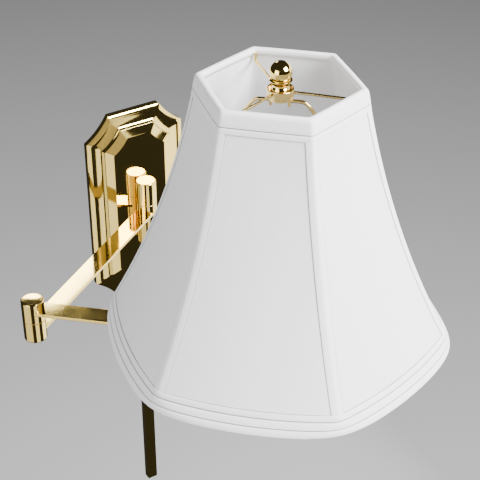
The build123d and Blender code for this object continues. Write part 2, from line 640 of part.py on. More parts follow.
with BuildPart() as socket_shell:
    with BuildSketch(lamp_level(SOCKET_SHELL_BOTTOM)):
        Circle(SOCKET_SHELL_RADIUS)
        Circle(SOCKET_SHELL_RADIUS - 0.5, mode=Mode.SUBTRACT)
    extrude(amount=SOCKET_SHELL_TOP - SOCKET_SHELL_BOTTOM)
    with BuildSketch(lamp_level(SOCKET_SHELL_TOP - 1.5)):
        Circle(SOCKET_SHELL_RADIUS + 0.8)
        Circle(SOCKET_SHELL_RADIUS - 0.5, mode=Mode.SUBTRACT)
    extrude(amount=1.5)
    with BuildSketch(upright(LAMP_X, LAMP_Y, ARM_TWO_TURN)):
        with Locations((0, SWITCH_LEVEL)):
            Circle(SWITCH_SHAFT_RADIUS + 0.6)
    extrude(amount=SOCKET_CAP_RADIUS + 1, mode=Mode.SUBTRACT)
socket_shell.part.label = "socket_shell"
export_step(socket_shell.part, "parts/socket_shell.step")

with BuildPart() as socket_insulator:
    with BuildSketch(lamp_level(SOCKET_BODY_BOTTOM)):
        Circle(INSULATOR_RADIUS)
        Circle(INSULATOR_RADIUS - 0.5, mode=Mode.SUBTRACT)
    extrude(amount=SCREW_SHELL_TOP + 1 - SOCKET_BODY_BOTTOM)
    with BuildSketch(upright(LAMP_X, LAMP_Y, ARM_TWO_TURN)):
        with Locations((0, SWITCH_LEVEL)):
            Circle(SWITCH_SHAFT_RADIUS + 0.6)
    extrude(amount=SOCKET_CAP_RADIUS + 1, mode=Mode.SUBTRACT)
socket_insulator.part.label = "socket_insulator"
export_step(socket_insulator.part, "parts/socket_insulator.step")

SWITCH_SHAFT_START = 6.0
with BuildPart() as socket_body:
    with BuildSketch(lamp_level(SOCKET_BODY_BOTTOM)):
        Circle(SOCKET_BODY_RADIUS)
    extrude(amount=SOCKET_BODY_TOP - SOCKET_BODY_BOTTOM)
    chamfer(socket_body.edges().sort_by(Axis.Z)[0], 1.5)
    with BuildSketch(upright(LAMP_X, LAMP_Y, ARM_TWO_TURN).offset(SWITCH_SHAFT_START)):
        with Locations((0, SWITCH_LEVEL)):
            Circle(SWITCH_SHAFT_RADIUS + SWITCH_CLEARANCE)
    extrude(amount=SOCKET_BODY_RADIUS, mode=Mode.SUBTRACT)
socket_body.part.label = "socket_body"
export_step(socket_body.part, "parts/socket_body.step")

with BuildPart() as screw_shell:
    with BuildSketch(lamp_level(SOCKET_BODY_TOP)):
        Circle(SCREW_SHELL_BORE + SCREW_SHELL_WALL)
    extrude(amount=SCREW_SHELL_TOP - SOCKET_BODY_TOP)
    with BuildSketch(lamp_level(SOCKET_BODY_TOP + SCREW_SHELL_WALL)):
        Circle(SCREW_SHELL_BORE)
    extrude(amount=SCREW_SHELL_TOP, mode=Mode.SUBTRACT)
    with BuildSketch(lamp_level(SOCKET_BODY_TOP)):
        Circle(6)
    extrude(amount=1, mode=Mode.SUBTRACT)
screw_shell.part.label = "screw_shell"
export_step(screw_shell.part, "parts/screw_shell.step")

with BuildPart() as centre_contact:
    with BuildSketch(lamp_level(SOCKET_BODY_TOP)):
        RectangleRounded(9, 4, 1)
    extrude(amount=0.6)
    with BuildSketch(lamp_level(SOCKET_BODY_TOP + 0.6)):
        Circle(2)
    extrude(amount=1.8)
    fillet(centre_contact.edges().sort_by(Axis.Z)[-1], 0.8)
centre_contact.part.label = "centre_contact"
export_step(centre_contact.part, "parts/centre_contact.step")

with BuildPart() as switch_shaft:
    with BuildSketch(upright(LAMP_X, LAMP_Y, ARM_TWO_TURN).offset(SWITCH_SHAFT_START + 0.3)):
        with Locations((0, SWITCH_LEVEL)):
            Circle(SWITCH_SHAFT_RADIUS)
    extrude(amount=KNOB_START + 6 - SWITCH_SHAFT_START - 0.3)
switch_shaft.part.label = "switch_shaft"
export_step(switch_shaft.part, "parts/switch_shaft.step")

with BuildPart() as switch_knob:
    with BuildSketch(upright(LAMP_X, LAMP_Y, ARM_TWO_TURN).offset(KNOB_START)):
        with Locations((0, SWITCH_LEVEL)):
            Circle(KNOB_RADIUS - 1.4)
    extrude(amount=3)
    with BuildSketch(upright(LAMP_X, LAMP_Y, ARM_TWO_TURN).offset(KNOB_START + 3)):
        with Locations((0, SWITCH_LEVEL)):
            Circle(KNOB_RADIUS)
            with PolarLocations(KNOB_RADIUS + 0.4, 14):
                Circle(0.8, mode=Mode.SUBTRACT)
    extrude(amount=KNOB_END - KNOB_START - 3)
    with BuildSketch(upright(LAMP_X, LAMP_Y, ARM_TWO_TURN).offset(KNOB_START)):
        with Locations((0, SWITCH_LEVEL)):
            Circle(SWITCH_SHAFT_RADIUS + PRESS_CLEARANCE)
    extrude(amount=6, mode=Mode.SUBTRACT)
switch_knob.part.label = "switch_knob"
export_step(switch_knob.part, "parts/switch_knob.step")

# ---------------------------------------------------------------- finial

with BuildPart() as finial:
    with BuildSketch(upright(LAMP_X, LAMP_Y, ARM_TWO_TURN)):
        with BuildLine():
            bore_wall = Line((STUD_RADIUS + RUNNING_CLEARANCE, FINIAL_BOTTOM), (6.6, FINIAL_BOTTOM))
            bulge = ThreePointArc(bore_wall @ 1, (8.2, FINIAL_BOTTOM + 3), (7.2, FINIAL_BOTTOM + 6))
            neck = ThreePointArc(bulge @ 1, (6.4, FINIAL_BOTTOM + 8.4), (8.6, FINIAL_BOTTOM + 11.0))
            flange = Line(neck @ 1, (9.6, FINIAL_BOTTOM + 11.6))
            edge = Line(flange @ 1, (9.6, FINIAL_BOTTOM + 12.4))
            collar = Line(edge @ 1, (7.7, FINIAL_BALL_CENTRE - sqrt(FINIAL_BALL_RADIUS**2 - 7.7**2)))
            ball = ThreePointArc(
                collar @ 1, (FINIAL_BALL_RADIUS, FINIAL_BALL_CENTRE), (0, FINIAL_BALL_CENTRE + FINIAL_BALL_RADIUS)
            )
            core = Line(ball @ 1, (0, STUD_TOP + 1))
            bore_end = Line(core @ 1, (STUD_RADIUS + RUNNING_CLEARANCE, STUD_TOP + 1))
            Line(bore_end @ 1, bore_wall @ 0)
        make_face()
    revolve(axis=Axis((LAMP_X, LAMP_Y, 0), (0, 0, 1)))
finial.part.label = "finial"
export_step(finial.part, "parts/finial.step")

# ---------------------------------------------------------------- shade frame and spider

BELL_RISE = SHADE_TOP - SHADE_BOTTOM
BELL_SPREAD = RIB_BOTTOM_RADIUS - RIB_TOP_RADIUS
BELL_CHORD = sqrt(BELL_RISE**2 + BELL_SPREAD**2)
BELL_REACH = sqrt(BELL_RADIUS**2 - BELL_CHORD**2 / 4) / BELL_CHORD
BELL_CENTRE_R = (RIB_TOP_RADIUS + RIB_BOTTOM_RADIUS) / 2 + BELL_REACH * BELL_RISE
BELL_CENTRE_Z = (SHADE_TOP + SHADE_BOTTOM) / 2 + BELL_REACH * BELL_SPREAD


def rib_radius(z):
    """Distance of the shade's outside corner from the lamp axis at a height."""
    return BELL_CENTRE_R - sqrt(BELL_RADIUS**2 - (z - BELL_CENTRE_Z) ** 2)


def side_bow(z):
    """How far a side bows out beyond a straight line between its corners."""
    return TOP_BOW + SIDE_BOW * ((SHADE_TOP - z) / BELL_RISE) ** 1.5


def side_arc(z, outside, turn=0.0):
    """One bowed side of the shade's cross-section, offset outwards, turned about the axis."""
    corner = rib_radius(z) + outside / COS30
    half = radians(30)
    a = radians(turn)
    middle = corner * COS30 + side_bow(z)
    return ThreePointArc(
        (corner * cos(a - half), corner * sin(a - half)),
        (middle * cos(a), middle * sin(a)),
        (corner * cos(a + half), corner * sin(a + half)),
    )


def ring_outline(z, outside):
    """The shade's whole six-sided cross-section at a height, offset outwards."""
    with BuildLine() as outline:
        for side in range(6):
            side_arc(z, outside, 30 + 60 * side)
    return outline.line


def strip_outline(z, outside, thickness):
    """The thin cross-section of one side's cloth, from one rib to the next."""
    with BuildLine() as outline:
        far = side_arc(z, outside)
        near = side_arc(z, outside - thickness)
        Line(far @ 0, near @ 0)
        Line(far @ 1, near @ 1)
    return outline.line


def shade_level(z, turn=0.0):
    """A horizontal plane on the lamp axis, turned from the shade's first rib."""
    return level(LAMP_X, LAMP_Y, z, SHADE_TURN + turn)


def shade_band(low, high, outer, inner):
    """A closed band round the shade between two heights and two offsets."""
    with BuildPart() as band:
        for offset_out, mode in ((outer, Mode.ADD), (inner, Mode.SUBTRACT)):
            for z in (low, (low + high) / 2, high):
                with BuildSketch(shade_level(z)):
                    make_face(ring_outline(z, offset_out))
            loft(mode=mode)
    return band


def frame_ring(z, inset):
    """A wire ring that follows the shade's cross-section, just inside the cloth."""
    with BuildPart() as ring:
        with BuildLine(shade_level(z)) as ring_path:
            for side in range(6):
                side_arc(z, -inset, 30 + 60 * side)
        start = ring_path.line @ 0
        with BuildSketch(Plane(origin=start, z_dir=ring_path.line % 0)):
            Circle(FRAME_WIRE_RADIUS)
        sweep(path=ring_path.line, transition=Transition.ROUND)
    return ring


CLOTH_TOP = SHADE_TOP - 0.4
TOP_RING_Z = SHADE_TOP - 2.2
TOP_RING_INSET = 2.0
top_ring = frame_ring(TOP_RING_Z, TOP_RING_INSET)
top_ring.part.label = "shade_top_ring"
export_step(top_ring.part, "parts/shade_top_ring.step")

BOTTOM_RING_Z = SHADE_BOTTOM + 2.9
BOTTOM_RING_INSET = 2.2
bottom_ring = frame_ring(BOTTOM_RING_Z, BOTTOM_RING_INSET)
bottom_ring.part.label = "shade_bottom_ring"
export_step(bottom_ring.part, "parts/shade_bottom_ring.step")

RIB_INSET = 2.5
RIB_HIGH = TOP_RING_Z - FRAME_WIRE_RADIUS - 0.7
RIB_LOW = BOTTOM_RING_Z + FRAME_WIRE_RADIUS + 1.3
RIB_MIDDLE = (RIB_LOW + RIB_HIGH) / 2
with BuildPart() as shade_ribs:
    for rib in range(6):
        with BuildLine(upright(LAMP_X, LAMP_Y, SHADE_TURN + 60 * rib)) as rib_path:
            ThreePointArc(
                (rib_radius(RIB_HIGH) - RIB_INSET, RIB_HIGH),
                (rib_radius(RIB_MIDDLE) - RIB_INSET, RIB_MIDDLE),
                (rib_radius(RIB_LOW) - RIB_INSET, RIB_LOW),
            )
        with BuildSketch(Plane(origin=rib_path.line @ 0, z_dir=rib_path.line % 0)):
            Circle(FRAME_WIRE_RADIUS)
        sweep(path=rib_path.line)
shade_ribs.part.label = "shade_ribs"
export_step(shade_ribs.part, "parts/shade_ribs.step")

with BuildPart() as spider_hub:
    with BuildSketch(lamp_level(HUB_BOTTOM)):
        Circle(HUB_RADIUS)
        Circle(STUD_RADIUS + 0.3, mode=Mode.SUBTRACT)
    extrude(amount=HUB_FLOOR)
    with BuildSketch(lamp_level(HUB_BOTTOM)):
        Circle(HUB_RADIUS)
        Circle(HUB_RADIUS - HUB_WALL, mode=Mode.SUBTRACT)
    extrude(amount=HUB_TOP - HUB_BOTTOM)
    fillet(spider_hub.edges().group_by(Axis.Z)[-1], 0.5)
spider_hub.part.label = "spider_hub"
export_step(spider_hub.part, "parts/spider_hub.step")

with BuildPart() as spider_wires:
    for arm in range(3):
        with BuildLine(upright(LAMP_X, LAMP_Y, SHADE_TURN + 120 * arm)) as spider_path:
            FilletPolyline(
                (HUB_RADIUS - 0.3, SPIDER_LEVEL),
                (SPIDER_END, SPIDER_LEVEL - 1.6),
                (SPIDER_END, CLOTH_TOP - 0.2),
                radius=2.2,
            )
        with BuildSketch(Plane(origin=spider_path.line @ 0, z_dir=spider_path.line % 0)):
            Circle(SPIDER_WIRE_RADIUS)
        sweep(path=spider_path.line)
    with BuildSketch(lamp_level(HUB_BOTTOM)):
        Circle(HUB_RADIUS)
    extrude(amount=HUB_TOP - HUB_BOTTOM, mode=Mode.SUBTRACT)
spider_wires.part.label = "spider_wires"
export_step(spider_wires.part, "parts/spider_wires.step")

# ---------------------------------------------------------------- shade cloth and trims

CLOTH_BOTTOM = SHADE_BOTTOM + 0.9
CLOTH_LEVELS = [CLOTH_BOTTOM + (CLOTH_TOP - CLOTH_BOTTOM) * step / 5 for step in range(6)]

for side in range(6):
    with BuildPart() as panel:
        for z in CLOTH_LEVELS:
            with BuildSketch(shade_level(z, 30 + 60 * side)):
                make_face(strip_outline(z, 0.0, PANEL_THICKNESS))
        loft()
    panel.part.label = f"shade_panel_{side + 1}"
    export_step(panel.part, f"parts/shade_panel_{side + 1}.step")

with BuildPart() as shade_lining:
    for side in range(6):
        for z in CLOTH_LEVELS:
            with BuildSketch(shade_level(z, 30 + 60 * side)):
                make_face(strip_outline(z, -LINING_INSET, LINING_THICKNESS))
        loft()
shade_lining.part.label = "shade_lining"
export_step(shade_lining.part, "parts/shade_lining.step")

TRIM_OUTER = TRIM_CLEAR + TRIM_THICKNESS
top_trim = shade_band(CLOTH_TOP - TOP_TRIM_HEIGHT, CLOTH_TOP, TRIM_OUTER, TRIM_CLEAR)
top_trim.part.label = "shade_top_trim"
export_step(top_trim.part, "parts/shade_top_trim.step")

bottom_trim = shade_band(CLOTH_BOTTOM, CLOTH_BOTTOM + BOTTOM_TRIM_HEIGHT, TRIM_OUTER, TRIM_CLEAR)
bottom_trim.part.label = "shade_bottom_trim"
export_step(bottom_trim.part, "parts/shade_bottom_trim.step")

# A binding folds over each rim and closes the gap between the cloth and its lining.
BINDING_OUTER = -LINING_INSET - LINING_THICKNESS - TRIM_CLEAR
BINDING_INNER = BINDING_OUTER - BINDING_THICKNESS

with BuildPart() as top_binding:
    with BuildSketch(shade_level(CLOTH_TOP + TRIM_CLEAR)):
        make_face(ring_outline(CLOTH_TOP, TRIM_OUTER))
        make_face(ring_outline(CLOTH_TOP, BINDING_INNER), mode=Mode.SUBTRACT)
    extrude(amount=BINDING_THICKNESS)
top_binding.part.label = "shade_top_binding"
export_step(top_binding.part, "parts/shade_top_binding.step")

with BuildPart() as bottom_binding:
    with BuildSketch(shade_level(CLOTH_BOTTOM - TRIM_CLEAR)):
        make_face(ring_outline(CLOTH_BOTTOM, TRIM_OUTER))
        make_face(ring_outline(CLOTH_BOTTOM, BINDING_INNER), mode=Mode.SUBTRACT)
    extrude(amount=-BINDING_THICKNESS)
bottom_binding.part.label = "shade_bottom_binding"
export_step(bottom_binding.part, "parts/shade_bottom_binding.step")


def tape_outline(z):
    """A flat chevron over one rib, lying along the two sides that meet there."""
    lean = radians(60) + 4 * side_bow(z) / rib_radius(z)
    corner = rib_radius(z) + TRIM_CLEAR / COS30
    tip = (corner - TAPE_HALF_WIDTH * cos(lean), TAPE_HALF_WIDTH * sin(lean))
    outer = (tip[0] + TAPE_THICKNESS * sin(lean), tip[1] + TAPE_THICKNESS * cos(lean))
    with BuildLine() as outline:
        Polyline((corner, 0), tip, outer, (corner + TAPE_THICKNESS / sin(lean), 0))
        mirror(about=Plane.XZ)
    return outline.line


TAPE_LOW = CLOTH_BOTTOM + BOTTOM_TRIM_HEIGHT + 0.1
TAPE_HIGH = CLOTH_TOP - TOP_TRIM_HEIGHT - 0.1
with BuildPart() as corner_tapes:
    for rib in range(6):
        for step in range(6):
            z = TAPE_LOW + (TAPE_HIGH - TAPE_LOW) * step / 5
            with BuildSketch(shade_level(z, 60 * rib)):
                make_face(tape_outline(z))
        loft()
corner_tapes.part.label = "shade_corner_tapes"
export_step(corner_tapes.part, "parts/shade_corner_tapes.step")
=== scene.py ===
import json
import math

import bmesh
import bpy
from mathutils import Matrix, Vector


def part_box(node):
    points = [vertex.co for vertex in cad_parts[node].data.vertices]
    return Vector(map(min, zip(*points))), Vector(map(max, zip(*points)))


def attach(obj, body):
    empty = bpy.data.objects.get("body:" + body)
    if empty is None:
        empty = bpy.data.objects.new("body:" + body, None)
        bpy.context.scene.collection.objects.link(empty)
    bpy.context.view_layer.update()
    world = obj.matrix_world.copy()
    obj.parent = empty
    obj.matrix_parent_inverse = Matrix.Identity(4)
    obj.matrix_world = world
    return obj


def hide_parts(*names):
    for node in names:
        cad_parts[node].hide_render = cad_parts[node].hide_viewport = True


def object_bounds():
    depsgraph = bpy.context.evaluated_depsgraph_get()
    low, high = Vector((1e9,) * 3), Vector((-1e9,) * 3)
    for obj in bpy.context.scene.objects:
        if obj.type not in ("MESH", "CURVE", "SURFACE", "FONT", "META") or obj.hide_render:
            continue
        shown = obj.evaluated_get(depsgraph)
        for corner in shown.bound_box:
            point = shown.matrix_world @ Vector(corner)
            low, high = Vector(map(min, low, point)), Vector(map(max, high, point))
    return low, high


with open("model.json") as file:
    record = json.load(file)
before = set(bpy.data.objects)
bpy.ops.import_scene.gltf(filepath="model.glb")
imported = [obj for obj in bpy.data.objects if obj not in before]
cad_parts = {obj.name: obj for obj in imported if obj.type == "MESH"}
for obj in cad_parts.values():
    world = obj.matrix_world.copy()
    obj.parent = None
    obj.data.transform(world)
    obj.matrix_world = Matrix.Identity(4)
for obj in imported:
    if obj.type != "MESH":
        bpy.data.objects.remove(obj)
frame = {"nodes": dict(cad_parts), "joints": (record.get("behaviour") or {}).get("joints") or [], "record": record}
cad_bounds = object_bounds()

# Lengths are in metres. The wall is the plane Y = 0, +Z is up and the room is towards -Y.
MM = 0.001
NODES = frame["nodes"]
JOINTS = {joint["name"]: joint for joint in frame["joints"]}


def corners(node):
    """The lowest and the highest corner of a node's box."""
    low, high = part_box(node)
    return Vector(low), Vector(high)


def middle(node):
    low, high = corners(node)
    return (low + high) / 2


def top_of(node):
    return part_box(node)[1][2]


def bottom_of(node):
    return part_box(node)[0][2]


def width_of(node):
    low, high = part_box(node)
    return high[0] - low[0]


POST = Vector(JOINTS["wall_swing"]["pos_m"])
ELBOW = Vector(JOINTS["elbow_swing"]["pos_m"])
LAMP = Vector(JOINTS["shade_turn"]["pos_m"])
ARM_ONE_TURN = math.atan2(ELBOW.y - POST.y, ELBOW.x - POST.x)
ARM_TWO_TURN = math.atan2(LAMP.y - ELBOW.y, LAMP.x - ELBOW.x)


def from_lamp(radius, turn, height):
    """A point at a distance and a direction from the lamp axis, at a height."""
    return Vector((LAMP.x + radius * math.cos(turn), LAMP.y + radius * math.sin(turn), height))


# ------------------------------------------------------------------ shader nodes


def feed(tree, socket, value):
    """Links a socket to the one that gives its value, or sets a plain value on it."""
    if isinstance(value, bpy.types.NodeSocket):
        tree.links.new(value, socket)
    else:
        socket.default_value = value


def new_group(name, inputs, outputs):
    """An empty node group: inputs are (name, kind, value) and outputs are (name, kind)."""
    group = bpy.data.node_groups.new(name, "ShaderNodeTree")
    for title, kind, value in inputs:
        socket = group.interface.new_socket(
            title, in_out="INPUT", socket_type="NodeSocket" + kind
        )
        if value is not None:
            socket.default_value = value
    for title, kind in outputs:
        group.interface.new_socket(title, in_out="OUTPUT", socket_type="NodeSocket" + kind)
    return group, group.nodes.new("NodeGroupInput"), group.nodes.new("NodeGroupOutput")


def group_node(tree, group, values):
    """A node group placed in a material with its own values. Gives back its outputs."""
    node = tree.nodes.new("ShaderNodeGroup")
    node.node_tree = group
    for title, value in values.items():
        feed(tree, node.inputs[title], value)
    return node.outputs


def math_node(tree, operation, first, second):
    node = tree.nodes.new("ShaderNodeMath")
    node.operation = operation
    feed(tree, node.inputs[0], first)
    feed(tree, node.inputs[1], second)
    return node.outputs[0]


def noise_node(tree, vector, scale, detail, roughness=0.5):
    node = tree.nodes.new("ShaderNodeTexNoise")
    feed(tree, node.inputs["Vector"], vector)
    feed(tree, node.inputs["Scale"], scale)
    feed(tree, node.inputs["Detail"], detail)
    feed(tree, node.inputs["Roughness"], roughness)
    return node.outputs["Fac"]


def span_node(tree, value, source, target):
    """Maps a source span of values, (low, high), onto a target span."""
    node = tree.nodes.new("ShaderNodeMapRange")
    feed(tree, node.inputs["Value"], value)
    for title, number in zip(("From Min", "From Max", "To Min", "To Max"), (*source, *target)):
        feed(tree, node.inputs[title], number)
    return node.outputs["Result"]


def mix_node(tree, factor, first, second):
    """A mix of two colours, all first at a factor of 0 and all second at 1."""
    node = tree.nodes.new("ShaderNodeMix")
    node.data_type = "RGBA"
    feed(tree, node.inputs["Factor"], factor)
    feed(tree, node.inputs["A"], first)
    feed(tree, node.inputs["B"], second)
    return node.outputs["Result"]


def polish_group():
    """Lacquered metal: cloudy roughness, fine polishing lines, and a darker tint in patches."""
    group, given, result = new_group(
        "polished_surface",
        [
            ("Vector", "Vector", None),
            ("Base", "Color", (0.8, 0.6, 0.2, 1)),
            ("Aged", "Color", (0.6, 0.4, 0.1, 1)),
            ("Roughness", "Float", 0.08),
            ("Haze", "Float", 0.06),
            ("Line Scale", "Float", 900.0),
        ],
        [("Color", "Color"), ("Roughness", "Float"), ("Height", "Float")],
    )
    vector = given.outputs["Vector"]
    haze = given.outputs["Haze"]
    cloud = noise_node(group, vector, scale=45.0, detail=5.0, roughness=0.6)
    patch = noise_node(group, vector, scale=16.0, detail=3.0, roughness=0.55)
    stretch = group.nodes.new("ShaderNodeVectorMath")
    stretch.operation = "MULTIPLY"
    feed(group, stretch.inputs[0], vector)
    feed(group, stretch.inputs[1], (1.0, 1.0, 0.06))
    lines = noise_node(group, stretch.outputs[0], given.outputs["Line Scale"], detail=2.0)

    hazed = math_node(group, "MULTIPLY", span_node(group, cloud, (0.35, 0.75), (0, 1)), haze)
    scored = math_node(group, "MULTIPLY", span_node(group, lines, (0.55, 0.8), (0, 0.5)), haze)
    rough = math_node(group, "ADD", given.outputs["Roughness"], hazed)
    tint = span_node(group, patch, (0.45, 0.8), (0, 0.55))
    colour = mix_node(group, tint, given.outputs["Base"], given.outputs["Aged"])
    feed(group, result.inputs["Color"], colour)
    feed(group, result.inputs["Roughness"], math_node(group, "ADD", rough, scored))
    feed(group, result.inputs["Height"], lines)
    return group


def weave_group():
    """A plain weave on a UV map in metres: thread height, thread shade and loose slubs."""
    group, given, result = new_group(
        "plain_weave",
        [
            ("Vector", "Vector", None),
            ("Threads", "Float", 2200.0),
            ("Base", "Color", (0.9, 0.9, 0.9, 1)),
            ("Shadow", "Color", (0.7, 0.7, 0.7, 1)),
        ],
        [("Color", "Color"), ("Height", "Float"), ("Slub", "Float")],
    )
    parts = group.nodes.new("ShaderNodeSeparateXYZ")
    feed(group, parts.inputs[0], given.outputs["Vector"])
    waves = []
    for axis in ("X", "Y"):
        phase = math_node(group, "MULTIPLY", parts.outputs[axis], given.outputs["Threads"])
        waves.append(math_node(group, "SINE", phase, 0.0))
    weave = math_node(group, "MULTIPLY", *waves)
    slub = noise_node(group, given.outputs["Vector"], scale=260.0, detail=3.0, roughness=0.6)
    height = math_node(group, "ADD", math_node(group, "MULTIPLY", weave, 0.5), slub)
    shade = span_node(group, height, (0, 0.9), (1, 0))
    colour = mix_node(group, shade, given.outputs["Base"], given.outputs["Shadow"])
    feed(group, result.inputs["Color"], colour)
    feed(group, result.inputs["Height"], height)
    feed(group, result.inputs["Slub"], slub)
    return group


POLISH = polish_group()
WEAVE = weave_group()


# ------------------------------------------------------------------ materials

RELIEF = 0.2 * MM
CLOTH_RELIEF = 0.3 * MM
LACQUER_ROUGHNESS = 0.04
CLOTH_ROUGHNESS = 0.85
CLOTH_SPECULAR = 0.25
# Painted shadow for the cloth's folds and the tapes' turned edges: a dark grey mixed in where the fold-shadow
# attribute is set.
FOLD_SHADOW_COLOUR = (0.16, 0.16, 0.165, 1)
FOLD_SHADOW_STRENGTH = 0.8


def new_material(name):
    material = bpy.data.materials.new(name)
    material.use_nodes = True
    return material, material.node_tree, material.node_tree.nodes["Principled BSDF"]


def bump_into(tree, shader, height, strength, distance):
    bump = tree.nodes.new("ShaderNodeBump")
    feed(tree, bump.inputs["Strength"], strength)
    feed(tree, bump.inputs["Distance"], distance)
    feed(tree, bump.inputs["Height"], height)
    feed(tree, shader.inputs["Normal"], bump.outputs["Normal"])


def metal(name, base, aged, roughness, haze, lines=900.0, bump=0.05, coat=0.0):
    """A polished or satin metal read from Object coordinates."""
    material, tree, shader = new_material(name)
    place = tree.nodes.new("ShaderNodeTexCoord")
    values = {
        "Vector": place.outputs["Object"],
        "Base": (*base, 1),
        "Aged": (*aged, 1),
        "Roughness": roughness,
        "Haze": haze,
        "Line Scale": lines,
    }
    surface = group_node(tree, POLISH, values)
    feed(tree, shader.inputs["Base Color"], surface["Color"])
    feed(tree, shader.inputs["Roughness"], surface["Roughness"])
    feed(tree, shader.inputs["Metallic"], 1.0)
    feed(tree, shader.inputs["Coat Weight"], coat)
    feed(tree, shader.inputs["Coat Roughness"], LACQUER_ROUGHNESS)
    bump_into(tree, shader, surface["Height"], bump, RELIEF)
    return material


def cloth(name, base, shadow, threads, bump, sheen):
    """A woven cloth read from the piece's own UV map, in metres, with shadow painted dark into its folds."""
    material, tree, shader = new_material(name)
    place = tree.nodes.new("ShaderNodeUVMap")
    place.uv_map = "cloth"
    values = {
        "Vector": place.outputs["UV"],
        "Threads": threads,
        "Base": (*base, 1),
        "Shadow": (*shadow, 1),
    }
    weave = group_node(tree, WEAVE, values)
    # Painted shadow: the weave is darkened where the fold-shadow attribute marks a fold.
    fold_shadow = tree.nodes.new("ShaderNodeAttribute")
    fold_shadow.attribute_name = "fold_shadow"
    in_fold_shadow = math_node(tree, "MULTIPLY", fold_shadow.outputs["Fac"], FOLD_SHADOW_STRENGTH)
    colour = mix_node(tree, in_fold_shadow, weave["Color"], FOLD_SHADOW_COLOUR)
    gloss = (CLOTH_ROUGHNESS - 0.06, CLOTH_ROUGHNESS + 0.06)
    feed(tree, shader.inputs["Base Color"], colour)
    feed(tree, shader.inputs["Roughness"], span_node(tree, weave["Slub"], (0.3, 0.7), gloss))
    feed(tree, shader.inputs["Sheen Weight"], sheen)
    feed(tree, shader.inputs["Specular IOR Level"], CLOTH_SPECULAR)
    bump_into(tree, shader, weave["Height"], bump, CLOTH_RELIEF)
    return material


def moulded(name, base, worn, roughness, grain, bump):
    """A moulded or pressed surface with fine grain and uneven gloss."""
    material, tree, shader = new_material(name)
    place = tree.nodes.new("ShaderNodeTexCoord").outputs["Object"]
    fine = noise_node(tree, place, scale=grain, detail=4.0, roughness=0.6)
    broad = noise_node(tree, place, scale=grain / 12, detail=3.0)
    wear = span_node(tree, broad, (0.4, 0.75), (0, 1))
    gloss = (roughness - 0.08, roughness + 0.08)
    feed(tree, shader.inputs["Base Color"], mix_node(tree, wear, (*base, 1), (*worn, 1)))
    feed(tree, shader.inputs["Roughness"], span_node(tree, fine, (0.3, 0.7), gloss))
    bump_into(tree, shader, fine, bump, RELIEF)
    return material


MATERIALS = {
    "polished_brass": metal(
        "lacquered_polished_brass", base=(0.93, 0.69, 0.19), aged=(0.83, 0.55, 0.11),
        roughness=0.05, haze=0.05, coat=0.15,
    ),
    "brass_wire": metal(
        "drawn_brass_wire", base=(0.87, 0.66, 0.25), aged=(0.68, 0.47, 0.14),
        roughness=0.14, haze=0.10, lines=1400.0, bump=0.1,
    ),
    "socket_brass": metal(
        "satin_brass_shell", base=(0.80, 0.58, 0.25), aged=(0.62, 0.42, 0.15),
        roughness=0.26, haze=0.12, lines=700.0, bump=0.15,
    ),
    "zinc_steel": metal(
        "zinc_plated_steel", base=(0.60, 0.61, 0.62), aged=(0.46, 0.47, 0.50),
        roughness=0.32, haze=0.18, lines=600.0, bump=0.2,
    ),
    "shell_aluminium": metal(
        "drawn_aluminium", base=(0.80, 0.80, 0.81), aged=(0.62, 0.62, 0.64),
        roughness=0.24, haze=0.12, lines=800.0, bump=0.15,
    ),
    "fibre": moulded(
        "pressed_fibre", base=(0.72, 0.64, 0.50), worn=(0.60, 0.52, 0.38),
        roughness=0.80, grain=900.0, bump=0.3,
    ),
    "bushing_rubber": moulded(
        "black_rubber", base=(0.020, 0.020, 0.021), worn=(0.045, 0.045, 0.045),
        roughness=0.62, grain=700.0, bump=0.25,
    ),
    "lead_insulation": moulded(
        "clear_gold_insulation", base=(0.62, 0.50, 0.20), worn=(0.50, 0.38, 0.14),
        roughness=0.35, grain=400.0, bump=0.1,
    ),
    "insulating_paper": moulded(
        "pressed_paper", base=(0.55, 0.43, 0.28), worn=(0.42, 0.31, 0.18),
        roughness=0.88, grain=1200.0, bump=0.4,
    ),
    "socket_moulding": moulded(
        "brown_thermoset", base=(0.040, 0.022, 0.014), worn=(0.070, 0.040, 0.026),
        roughness=0.35, grain=600.0, bump=0.1,
    ),
    "knob_plastic": moulded(
        "black_knob_plastic", base=(0.014, 0.014, 0.015), worn=(0.035, 0.035, 0.036),
        roughness=0.30, grain=600.0, bump=0.1,
    ),
    "frame_wire": moulded(
        "white_coated_wire", base=(0.78, 0.78, 0.77), worn=(0.66, 0.66, 0.64),
        roughness=0.45, grain=800.0, bump=0.15,
    ),
    "shade_cloth": cloth(
        "shade_cloth", base=(0.86, 0.86, 0.87), shadow=(0.78, 0.78, 0.795),
        threads=9000.0, bump=0.12, sheen=0.10,
    ),
    "lining_cloth": cloth(
        "lining_cloth", base=(0.80, 0.80, 0.81), shadow=(0.70, 0.70, 0.72),
        threads=7000.0, bump=0.15, sheen=0.15,
    ),
    "trim_cloth": cloth(
        "trim_cloth", base=(0.89, 0.89, 0.90), shadow=(0.81, 0.81, 0.825),
        threads=8000.0, bump=0.14, sheen=0.10,
    ),
}
CLOTHS = {"shade_cloth", "lining_cloth", "trim_cloth"}

for part in frame["record"]["subparts"]:
    node = NODES[part["node"]]
    node.data.materials.clear()
    node.data.materials.append(MATERIALS[part["material_slot"]])


# ------------------------------------------------------------------ mesh helpers

MERGE_DISTANCE = 1e-6
TURN_STEPS = 96
CORNER_STEPS = 5


